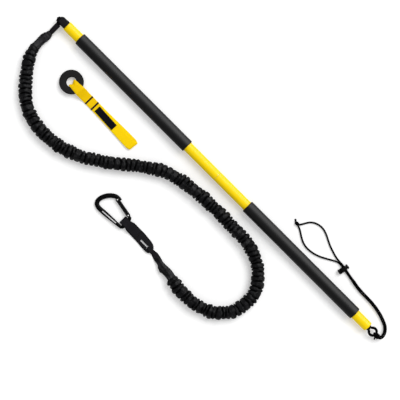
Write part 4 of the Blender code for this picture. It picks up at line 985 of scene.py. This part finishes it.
def tailStrap():
    tip = sleeveEnd + narrowStrap["clamp"] - .0021
    line = [(.0275, .0014), (.018, .001), (.01, .001), (.0042, .001), (.0029, .0014), (.0026, .003),
        (.0026, .0062), (.003, .0075), (.0046, .0079), (.01, .0079), (.0158, .0078), (.0186, .0064),
        (.0214, .0043), (.024, .0029), (.0275, .0021)]
    widths = [(.0042, .008), (.0105, .0114), (.024, .0122)]

    def placeAt(point):
        return eyeY, between(widths, point.x)[0], 0, 0

    thick = .0019
    eye = alongStrip("eye", lineStations(line, .0008, placeAt, thick), thick, .008)
    made = joined("tailStrap", [ribbonAlong("tail", tip, bandRoute.length), eye])
    finished(made, "band", "black_webbing", "band_tail_strap", 40)


headStrap()
tailStrap()


wideStrap = {
    "width": .0266,
    "thick": .0019,
    # along the strap: its middle from the bar's middle, and its width
    "places": [(-.073, -.238, .0216), (-.06, -.238, .0272), (-.03, -.2386, .028),
        (-.004, -.2405, .0278), (.006, -.2416, .0258), (.0112, -.2427, .0218), (.015, -.2433, .016)],
    "slitY": -.243,
    "slit": (-.0222, .003, .0019),  # from, to, half its width
    "eyeSlot": (.0026, .0026, .0088),  # middle, length, width, for the tail strap's eye
}


def slotCutter(x0, x1, y, half, z0, z1):
    # a slot with round ends, for a Boolean
    made = primitive("cylinder", "slot", vertices=24, radius=half, depth=z1 - z0,
                     location=(x0 + half, y, (z0 + z1) / 2))
    for vert in made.data.vertices:
        if vert.co.x > x0 + half:
            vert.co.x += x1 - x0 - 2 * half
    return made


def carabinerStrap():
    bottom = [(.0115, .0033), (.004, .0032), (-.002, .0021), (-.008, .0011), (-.02, .001), (-.035, .001),
        (-.05, .001), (-.065, .001), (-.076, .001), (-.083, .001)]
    bend = [math.radians(a) for a in range(20, 161, 20)]
    bend = [(-.083 - .00605 * math.sin(a), .00705 - .00605 * math.cos(a)) for a in bend]
    top = [(-.083, .0131), (-.077, .0131), (-.072, .0127), (-.0625, .0092), (-.054, .0056), (-.047, .004),
        (-.039, .0032), (-.028, .0032), (-.016, .0032), (-.008, .0034), (-.003, .0042), (.002, .0052),
        (.006, .0055), (.0112, .0055), (.0142, .0053), (.0149, .0044), (.0142, .0035)]

    def placeAt(point):
        y, width = between(wideStrap["places"], point.x)
        return barY + y, width, 0, 0

    stations = lineStations(bottom + bend + top, .0016, placeAt, wideStrap["thick"], True)
    made = alongStrip("carabinerStrap", stations, wideStrap["thick"], wideStrap["width"], True)
    x0, x1, half = wideStrap["slit"]
    cutBy(made, slotCutter(x0, x1, barY + wideStrap["slitY"], half, -.002, .012))
    middle, length, width = wideStrap["eyeSlot"]
    cutBy(made, primitive("cube", "eye", size=1, location=(middle, eyeY, .005),
                          scale=(length, width, .02)))
    finished(made, "band", "black_webbing", "carabiner_strap", 40)


def stitchRow(name, place, length, count, reach, thick):
    # a bar tack: one stitch, bent down at its ends, repeated across the strap
    made = primitive("cylinder", name, vertices=8, radius=thick / 2, depth=reach,
                     rotation=(0, math.pi / 2, 0))
    bpy.ops.object.mode_set(mode="EDIT")
    for share in (-.3, 0.0, .3):
        bpy.ops.mesh.select_all(action="SELECT")
        bpy.ops.mesh.bisect(plane_co=(share * reach, 0, 0), plane_no=(1, 0, 0))
    bpy.ops.object.mode_set(mode="OBJECT")
    for vert in made.data.vertices:
        far = abs(vert.co.x) / (reach / 2)
        vert.co.z = vert.co.z * (1 - .35 * far) - thick * .2 * far ** 2
    applied(made, "ARRAY", count=count, use_relative_offset=False, use_constant_offset=True,
            constant_offset_displace=(0, length / count, 0))
    for vert in made.data.vertices:
        vert.co.y -= length / 2 * (1 - 1 / count)
    made.data.transform(place)
    made.data.name = name
    return made


carabinerStrap()
tackPlace = Matrix.Translation((-.0348, barY - .2385, .00475))
tack = stitchRow("carabinerTack", tackPlace, .022, 32, .0024, .00066)
finished(tack, "band", "black_thread", "carabiner_strap_tack", 60)
print("straps")


# Cord loop in each end of the bar

endLoop = {
    "cord": .0026,
    "spread": .003576,  # each leg from the bar's axis
    "reach": .0157,
    "opening": {"band": 128, "wrist": 138},  # degrees to each side of the far point
    # how each leg splays outside the plug: distance, and more than the spread
    "splay": {"band": [(.0057, .0001), (.0083, .0007)],
              "wrist": [(.0055, .0002), (.0071, .0011)]},
    "radius": {"band": .0076, "wrist": .0094},
    "full": {"band": 1.04, "wrist": 1.28},  # how much thicker the cord is outside the plug
}


def cordLoop(end, way):
    spread = endLoop["spread"]
    # from the melted head behind the washer and the plug, all with their clearances
    head = -.0036 - .0003 - .014 - .0003 - .0015 - .0003
    leg = [(x, spread) for x in (head - .0034, head - .0004, head + .0002, head + .004, -.01, -.002,
                                 .0035)]
    leg += [(x, spread + more) for x, more in endLoop["splay"][end]]
    opening = endLoop["opening"][end]
    radius = endLoop["radius"][end]
    arc = [math.radians(opening - 2 * opening * i / 12) for i in range(13)]
    arc = [(endLoop["reach"] + radius * math.cos(a), radius * math.sin(a)) for a in arc]
    flat = leg + arc + [(x, -y) for x, y in reversed(leg)]
    line = Route([(way * (barEnd + x), barY + way * y, axisZ) for x, y in flat], 6)
    swell = []
    for s in steps(0, line.length, .0009):
        near = min(s, line.length - s)
        full = (endLoop["full"][end] - 1) * ease(.0058, .0085, way * line.at(s).x - barEnd)
        swell.append(1 + .26 * (1 - ease(.0029, .0037, near)) + full)
    made = cordTube(f"{end}Loop", line.spaced(.0009), endLoop["cord"], 20, swell)
    finished(made, "bar", "black_cord", f"{end}_end_loop")


cordLoop("band", -1)
cordLoop("wrist", 1)


# Wrist cord

wristCord = {
    "radius": .0023,
    "doubled": .0022,  # radius where two strands lie together
    "offset": .00222,  # each strand from the doubled cord's middle
    "gripRadius": .0021,  # in the lock and at the hitch
    "gripOffset": .0019,
    "lift": .0013,
    "sway": 20,  # degrees to and fro along its length
    "turn": (.06, .041),  # from the end, where the strands turn for the lock
    "turned": 30,
}


def strandPoints(sign, single):
    # points of a strand, and how thick it is at each
    points, swell = [], []
    full, slim, least = wristCord["radius"], wristCord["gripRadius"], wristCord["gripOffset"]
    end = doubleRoute.length
    for s in steps(0, end, .0016):
        point, side, up = doubleRoute.frame(s)
        free = ease(.004, .012, s) * (1 - ease(end - .052, end - .042, s))
        turned = ease(*(end - d for d in wristCord["turn"]), s)
        sway = wristCord["sway"] * math.sin(s * 45) * (1 - turned)
        turn = math.radians(wristCord["turned"] * turned + sway)
        offset = (least + (wristCord["offset"] - least) * free) * sign
        away = side * math.cos(turn) + up * math.sin(turn)
        points.append(point + away * offset + upwards * (wristCord["lift"] * free))
        swell.append((slim + (wristCord["doubled"] - slim) * free) / full)
    for s in steps(0, single.length, .0016)[1:]:
        free = ease(.006, .016, s) * (1 - .5 * ease(single.length - .008, single.length, s))
        radius = slim + (full - slim) * free
        points.append(onFloor(single.at(s).copy(), radius + .0001))
        swell.append(radius / full)
    return points, swell


def wristStrand(end, sign, single):
    points, swell = strandPoints(sign, single)
    made = cordTube(f"{end}Strand", points, wristCord["radius"], 12, swell)
    return finished(made, "wrist_cord", "black_cord", f"wrist_cord_{end}"), points


upperStrand, upperPath = wristStrand("upper", 1, upperRoute)
lowerStrand, lowerPath = wristStrand("lower", -1, lowerRoute)


def turnsAbout(name, centre, axis, start, radius, cord, turns, lead):
    # cord wound round an axis
    axis = axis.normalized()
    start = (start - axis * start.dot(axis)).normalized()
    other = axis.cross(start)
    points = []
    for i in range(round(turns * 28) + 1):
        a = 2 * math.pi * i / 28
        points.append(centre + start * (radius * math.cos(a)) + other * (radius * math.sin(a))
                      + axis * (lead * (i / 28 - turns / 2)))
    return cordTube(name, points, cord, 12)


def turnsAlong(centre, points, cord):
    route = Route([centre + Vector(p) for p in points], 6)
    return cordTube("turn", route.spaced(.0007), cord, 12)


wristHitch = {
    "cord": .0019,
    "pass": .0013,  # radius of the cord where it is pulled tight round the bar's loop
    "passes": (-17, -3, 11),  # degrees round that loop
    "turns": 2.4,  # wound round the doubled cord
    "middle": .016,  # of those turns, from the loop's centre
}


def cordHitch():
    # the cord passed round the bar's loop and wound round itself beside it
    centre = Vector((loopX, barY, axisZ))
    tight = wristHitch["pass"]
    about = endLoop["cord"] * endLoop["full"]["wrist"] + tight + .0002
    pieces = []
    for i, turn in enumerate(wristHitch["passes"]):
        a = math.radians(turn)
        out = Vector((math.cos(a), math.sin(a), 0))
        pieces.append(turnsAbout("pass", centre + out * endLoop["radius"]["wrist"],
                                 Vector((-out.y, out.x, 0)), out, about, tight, 1.0,
                                 .0004 * (1 - i)))
    pieces.append(turnsAbout("wound", centre + Vector((wristHitch["middle"], 0, -.0003)),
                             Vector((1, .08, -.06)), -sideways, .0051, wristHitch["cord"],
                             wristHitch["turns"], .0034))
    core = [(.0136, .001, .0004), (.0148, .0004, .0002), (.0164, 0, 0)]
    pieces.append(cordTube("core", [centre + Vector(p) for p in core], .0033, 14))
    tail = [(.0118, -.0052, -.0012), (.0138, -.0066, -.0022), (.0154, -.0084, -.0034),
        (.0162, -.0104, -.005)]
    pieces.append(turnsAlong(centre, tail, wristHitch["cord"]))
    finished(joined("cordHitch", pieces), "wrist_cord", "black_cord", "wrist_hitch")


def overhandKnot():
    # both strands wound round each other, with a short tail
    centre = Vector((.2195, barY + .0562, .0042))
    line = [(.0056, .0014, -.0005), (.0042, .0008, .0002), (.0026, -.0016, .0016), (.0012, -.0026, -.0004),
        (.0002, -.0008, -.0022), (-.0004, .002, -.0014), (-.0008, .0026, .001), (-.0016, .0006, .0024),
        (-.0026, -.002, .0012), (-.0034, -.0022, -.001), (-.004, -.0002, -.002),
        (-.0036, .0018, -.0008), (-.0026, .0016, .0012), (-.003, .0006, .002)]
    other = [(.0056, -.0019, -.0005), (.004, -.0022, -.0016), (.0028, .0004, -.0024),
        (.0022, .0026, -.0006), (.0014, .0022, .0018), (.0002, -.0002, .0026), (-.0012, -.0024, .0018),
        (-.0016, -.0028, -.0006), (-.001, -.0012, -.002)]
    tail = [(-.0006, .0002, 0), (-.003, .0006, -.0004), (-.005, .0013, -.001),
        (-.007, .0026, -.0016), (-.009, .0042, -.0018), (-.0108, .0056, -.0018)]
    pieces = [turnsAlong(centre, *turn) for turn in ((line, .0019), (other, .0019), (tail, .0022))]
    made = joined("overhandKnot", pieces)
    for vert in made.data.vertices:
        onFloor(vert.co)
    return finished(made, "wrist_cord", "black_cord", "wrist_knot")


cordHitch()
knot = overhandKnot()
print("cords")


# Foam grips

grip = {
    "radius": .0163,
    "bore": .013,
    "length": .371,
    "middle": .2885,
    "edge": .0021,
    "worn": (.00018, .0001),  # unevenness of the foam, and how far it is kept down
}


def foamGrip(end, way):
    half = grip["length"] / 2
    uneven, down = grip["worn"]
    made = foamRing(f"{end}Grip", 80, grip["radius"], grip["bore"], grip["length"], 1,
                    steps(-half + .006, half - .006, .012), [(grip["radius"], grip["edge"], 6)])
    made.data.transform(Matrix.Rotation(math.pi / 2, 4, "Y"))
    for vert in made.data.vertices:
        r = math.hypot(vert.co.y, vert.co.z)
        if r > grip["bore"] + .001:
            worn = rough(vert.co.x * 30 + way * 9, vert.co.y * 45, vert.co.z * 45)
            grow = 1 + (uneven * worn - down) / r
            vert.co.y *= grow
            vert.co.z *= grow
    made.data.transform(Matrix.Translation((way * grip["middle"], barY, axisZ)))
    for vert in made.data.vertices:
        onFloor(vert.co, 0.0)
    finished(made, "bar", "grip_foam", f"{end}_end_grip", 40)


foamGrip("band", -1)
foamGrip("wrist", 1)
print("grips")


# Door anchor, in a frame on the floor under the disc's centre, +X along the strap

anchorPlace = Matrix.Translation((-.4146, -.03775, 0)) @ Matrix.Rotation(math.radians(-1), 4, "Z")
anchor = {
    "radius": .03,
    "hole": .0128,
    "thick": .012,
    "tilt": 3.336,  # degrees, up at the strap's side
    "lift": .001746,
    "web": .0016,
    "width": .0256,
    "eyeWidth": .0206,
    "length": .219,
}


def foamDisc():
    thick = anchor["thick"]
    made = foamRing("foamDisc", 96, anchor["radius"], anchor["hole"], thick, 2, [],
                    [(anchor["radius"], .0019, 5), (anchor["hole"], .0007, 3)])
    for vert in made.data.vertices:
        x, y, z = vert.co
        vert.co.z -= z / (thick / 2) * .00012 * (1 + rough(x * 60, y * 60, 4))
    tilt = Matrix.Rotation(math.radians(-anchor["tilt"]), 4, "Y")
    made.data.transform(anchorPlace @ Matrix.Translation((0, 0, anchor["lift"])) @ tilt
                        @ Matrix.Translation((0, 0, thick / 2)))
    finished(made, "anchor_ring", "anchor_foam", "anchor_disc", 40)


def anchorStrap():
    web, far = anchor["web"], anchor["length"]
    mid, fold = web / 2, .0032

    def over(x):
        # on the tilted ring
        return anchor["lift"] + x * math.tan(math.radians(anchor["tilt"])) + .01202 + .0004

    line = [(.057, mid), (.046, mid), (.034, mid), (.022, mid), (.012, mid), (.0042, mid + .0001),
            (.0016, .0016), (.001, .0036), (.001, .007), (.001, .0104), (.0016, .0128),
            (.0046, over(.0046) + mid + .0004), (.0128, over(.0128) + mid),
            (.02, over(.02) + mid), (.0262, over(.0262) + mid), (.03, over(.03) + mid - .0004),
            (.0332, .0147), (.0366, .0119), (.0405, .0092), (.045, .0066), (.0495, .0046),
            (.0545, .0032), (.0595, .0025), (.065, .0024), (.075, .0024), (.084, .0024),
            (.09, .003), (.098, .0036), (.112, .0036), (.128, .0036), (.144, .0036),
            (.16, .0036), (.176, .0038), (.19, .0043), (.203, .0052),
            (far - .0058, .0056), (far - .0026, .0052),
            (far - mid, fold), (far - .0028, .0011), (far - .008, mid), (.196, mid), (.18, mid),
            (.16, mid), (.14, mid), (.12, mid), (.1, mid), (.084, mid), (.07, mid)]

    def placeAt(point):
        # the top layer drifts to one side and the lower to the other towards the fold
        x = point.x
        upper = point.z > .0021
        y = (-.0026 if upper else .0026) * ease(.095, .205, x) * (1 - ease(far - .012, far, x) * .9)
        wider = min(1, max(0, (x - .002) / .03)) * (anchor["width"] + .0008 - anchor["eyeWidth"])
        width = anchor["eyeWidth"] + wider - .0008 * ease(.034, .05, x)
        cup = -.0016 * ease(.002, .01, x) * (1 - ease(.02, .05, x)) if upper else 0
        return y, width, .1 * ease(.15, far, x), cup

    stations = lineStations(line, .0016, placeAt, web * .97, True)
    made = alongStrip("anchorStrap", stations, web, anchor["width"], True)
    for vert in made.data.vertices:
        x, y, z = vert.co
        inner = max(0, 1 - abs(y + .0012) / .0076)
        near = 1 - ease(.004, .0126, x)
        vert.co.x += .0052 * inner ** 1.1 * near * ease(-.004, .004, z)
        vert.co.z -= .003 * inner * near * ease(.0085, .0125, z)
        if z > .006:
            vert.co.z -= .0012 * inner ** 2 * ease(.01, .014, x) * (1 - ease(.018, .045, x))
    made.data.transform(anchorPlace)
    finished(made, "door_anchor", "yellow_webbing", "anchor_strap", 40)


def anchorTack(end, x):
    place = anchorPlace @ Matrix.Translation((x, 0, .00375))
    made = stitchRow(f"{end}Tack", place, .0258, 38, .0042, .0008)
    finished(made, "door_anchor", "black_thread", f"anchor_tack_{end}", 60)


def anchorLabel():
    length, width = .0625, .0178
    made = primitive("grid", "anchorLabel", x_subdivisions=40, y_subdivisions=12, size=1)
    for vert in made.data.vertices:
        x, y = vert.co.x, vert.co.y
        wave = rough(x * 4, y * 2, 2) * .00025
        curl = .0003 * (2 * abs(x)) ** 8 + .0002 * (2 * abs(y)) ** 8
        vert.co = Vector((x * length, y * width, wave * (1 - 4 * y * y) - curl * .5 + .0003))
    cloth = made.data.uv_layers[0]
    cloth.name = "cloth"
    for loop in made.data.loops:
        point = made.data.vertices[loop.vertex_index].co
        cloth.data[loop.index].uv = (point.y, point.x)
    applied(made, "SOLIDIFY", thickness=.0005, offset=0.0)
    applied(made, "BEVEL", width=.00012, segments=2, limit_method="ANGLE")
    turn = Matrix.Rotation(math.radians(-2.2), 4, "Z")
    made.data.transform(anchorPlace @ Matrix.Translation((.121, -.0016, .00475)) @ turn)
    finished(made, "door_anchor", "label", "anchor_label", 40)


foamDisc()
anchorStrap()
anchorTack("inner", .061)
anchorTack("outer", .081)
anchorLabel()
print("door anchor")


# Carabiner and cord lock: the CAD's shapes with the details that it leaves out

carabinerPlace = Matrix.Translation((-.077, -.18755, .00705)) @ (
    Matrix.Rotation(math.radians(184), 4, "Z") @ Matrix.Rotation(math.radians(1.417), 4, "Y"))
# its middle line from the nose round to the basket, and how much the stock is filled out
stockLine = [(.052, -.0346, .0002), (.056, -.0343, .001), (.062, -.0329, .0018), (.0685, -.0296, .0022),
    (.0755, -.024, .0024), (.082, -.016, .0024), (.0866, -.007, .0022), (.0883, .0015, .002),
    (.0866, .0084, .002), (.0816, .013, .0024), (.074, .0152, .0034), (.066, .0156, .0044),
    (.05, .0155, .0048), (.03, .0155, .0048), (.018, .0155, .0034), (.011, .0152, .0004)]
gateLine = [(.016, -.0203, 0), (.023, -.0221, .0032), (.04, -.0264, .0034), (.045, -.0277, 0)]
groove = {
    "from": .0185,  # along the spine, from the basket's middle
    "to": .0628,
    "y": .0153,
    "half": .00115,
    "floor": .0034,  # of each groove, from the middle of the stock
}


def copied(name, node):
    mesh = nodes[node].data.copy()
    mesh.transform(nodes[node].matrix_world)
    shape = bmesh.new()
    shape.from_mesh(mesh)
    bmesh.ops.remove_doubles(shape, verts=shape.verts[:], dist=.000002)
    shape.to_mesh(mesh)
    shape.free()
    return added(name, mesh)


def filledOut(made, line):
    # moves the surface away from a line, by half of the amount given at each of its points
    back = carabinerPlace.inverted()
    for vert in made.data.vertices:
        local = back @ vert.co
        flat = local.to_2d()
        best = None
        for (x0, y0, g0), (x1, y1, g1) in zip(line, line[1:]):
            start, run = Vector((x0, y0)), Vector((x1 - x0, y1 - y0))
            t = (flat - start).dot(run) / run.length_squared
            if best is None and t < 0:
                continue
            t = min(1, max(0, t))
            foot = start + run * t
            gap = (flat - foot).length
            if best is None or gap < best[0]:
                best = (gap, foot, g0 + (g1 - g0) * t)
        if best and .0004 < best[0] < .009:
            out = (flat - best[1]) / best[0]
            local += Vector((out.x, out.y, 0)) * (best[2] / 2)
            vert.co = carabinerPlace @ local


def carabinerBody():
    made = copied("carabinerBody", "carabiner_body")
    filledOut(made, stockLine)
    for low, high in ((groove["floor"], .009), (-.009, -groove["floor"])):
        cutter = slotCutter(groove["from"], groove["to"], groove["y"], groove["half"], low, high)
        cutter.data.transform(carabinerPlace)
        cutBy(made, cutter)
    back = carabinerPlace.inverted()
    # the groove's floor, painted pale in the anodised finish as a painted reflection
    paintedGrooveGlint = []
    for vert in made.data.vertices:
        x, y, z = back @ vert.co
        paintedGrooveGlint.append(float(groove["from"] - .0002 < x < groove["to"] + .0002
                          and abs(y - groove["y"]) < groove["half"] + .0001
                          and abs(abs(z) - groove["floor"]) < .0001))
    setPaintedLight(made.data, paintedGrooveGlint)
    finished(made, "carabiner", "black_anodised", "carabiner_body", 35)


def carabinerGate():
    made = copied("carabinerGate", "carabiner_gate")
    filledOut(made, gateLine)
    finished(made, "gate", "black_anodised", "carabiner_gate", 35)


carabinerBody()
carabinerGate()
for end in ("band", "wrist"):
    plug = copied(f"{end}Plug", f"{end}_end_plug")
    finished(plug, "bar", "black_plastic", f"{end}_end_plug", 40)


lockPlace = Matrix.Translation((.3793, .11145, .0065)) @ Matrix.Rotation(
    math.radians(-10), 4, "Z")
# profiles of the cord lock: millimetres along its axis from the cord, and radius
lockShape = {
    "body": [(-17.2, .3), (-17.2, 3.4), (-16.9, 4.9), (-16.1, 6.0), (-14.9, 6.4), (-12.5, 6.4), (-12.2, 6),
        (-11.6, 6), (-11.3, 6.4), (-10.5, 6.4), (-10.2, 6), (-9.6, 6), (-9.3, 6.4), (-8.5, 6.4), (-8.2, 6),
        (-7.6, 6), (-7.3, 6.4), (-6.5, 6.4), (-6.2, 6), (-5.6, 6), (-5.3, 6.4), (3.9, 6.4), (4.5, 5.9),
        (4.5, 5.4), (-13, 5.4), (-13, .3)],
    "button": [(-7.3, .3), (-7.3, 4.9), (-7, 5.2), (7.7, 5.2), (7.7, 6), (8, 6.5), (9.8, 6.5), (10.8, 5.9),
        (11.3, 4.6), (11.4, .3)],
    "hole": (.0039, .0034),  # half width and half height of the cord's hole
    "holeDown": .0011,  # below the axis
    "travel": .0032,
    "spring": .01296,  # its fixed end, from the cord
}


def lockPiece(name, travel, body):
    # turned about the lock's axis, with a hole for the cord
    rings = [[lockPlace @ (Vector((c * radius, along, sn * radius)) * mm) for c, sn in circle(48)]
             for along, radius in lockShape[name]]
    made = skin(f"lock{name.title()}", rings, [k * mm for k in range(len(rings))], .04)
    wide, high = lockShape["hole"]
    cutter = primitive("cube", "hole", size=1, location=(0, travel / 2, -lockShape["holeDown"]),
                       scale=(.022, 2 * wide + travel, 2 * high))
    cutter.data.transform(lockPlace)
    cutBy(made, cutter)
    return finished(made, body, "black_plastic", f"cord_lock_{name}", 35)


lockBody = lockPiece("body", 0, "cord_lock")
button = lockPiece("button", lockShape["travel"], "lock_button")
spring = copied("lockSpring", "cord_lock_spring")
finished(spring, "cord_lock", "steel", "cord_lock_spring", 60)
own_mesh(spring)
print("carabiner and lock")


# What stays as the CAD made it

repaint("yellow_paint", "band_end_tube", "wrist_end_tube")
repaint("steel", "coupler_stud", "coupler_insert", "band_loop_washer", "wrist_loop_washer",
        "head_core_clamp", "tail_core_clamp", "gate_hinge_pin", "gate_latch_pin", "gate_plunger",
        "gate_spring")


# Floor and light

light = {
    "sun": 1.75,
    "sunTilt": 38,  # degrees from straight above
    "sunSpread": 36,  # degrees across, for soft shadows
    "sky": .6,
    "gleam": 9.5,  # seen by reflections only, from lower down
    "gleamTilt": 60,
    "gleamSpread": 70,
    "floorGlow": .24,
}


def addFloor():
    f = Finish("paleFloor", "floor", Roughness=.9, IOR=1.1)
    f.set(Base_Color=f.mix(f.noise(6, 2), (.86, .86, .86), (.88, .88, .88)))
    none = f.node("Emission", {"Color": (0, 0, 0), "Strength": 0.0})
    glow = f.node("Emission", {"Color": (1, 1, 1), "Strength": light["floorGlow"]})
    extra = f.node("MixShader", {0: f.seen(), 1: none, 2: glow})
    both = f.node("AddShader", {0: Wire(f, f.shader.outputs[0]), 1: extra})
    f.plug(f.tree.nodes["Material Output"].inputs["Surface"], both)
    made = primitive("plane", "floor", size=24)
    made.data.materials.append(f.made)


def addLight():
    for name in ("sun", "gleam"):
        data = bpy.data.lights.new(name, "SUN")
        data.energy = light[name]
        data.angle = math.radians(light[f"{name}Spread"])
        lamp = added(name, data)
        lamp.rotation_euler = (-math.radians(light[f"{name}Tilt"]), 0, 0)  # shines from +Y
    lamp.visible_diffuse = False
    sky = Finish("sky", "sky", "worlds", "Background", Color=(1, 1, 1))
    sky.set(Strength=sky.node("Mix", {0: sky.seen(), 2: light["sky"], 3: 1.0}))
    bpy.context.scene.world = sky.made


addFloor()
addLight()
bpy.context.scene.view_settings.view_transform = "Standard"
print("floor and light")
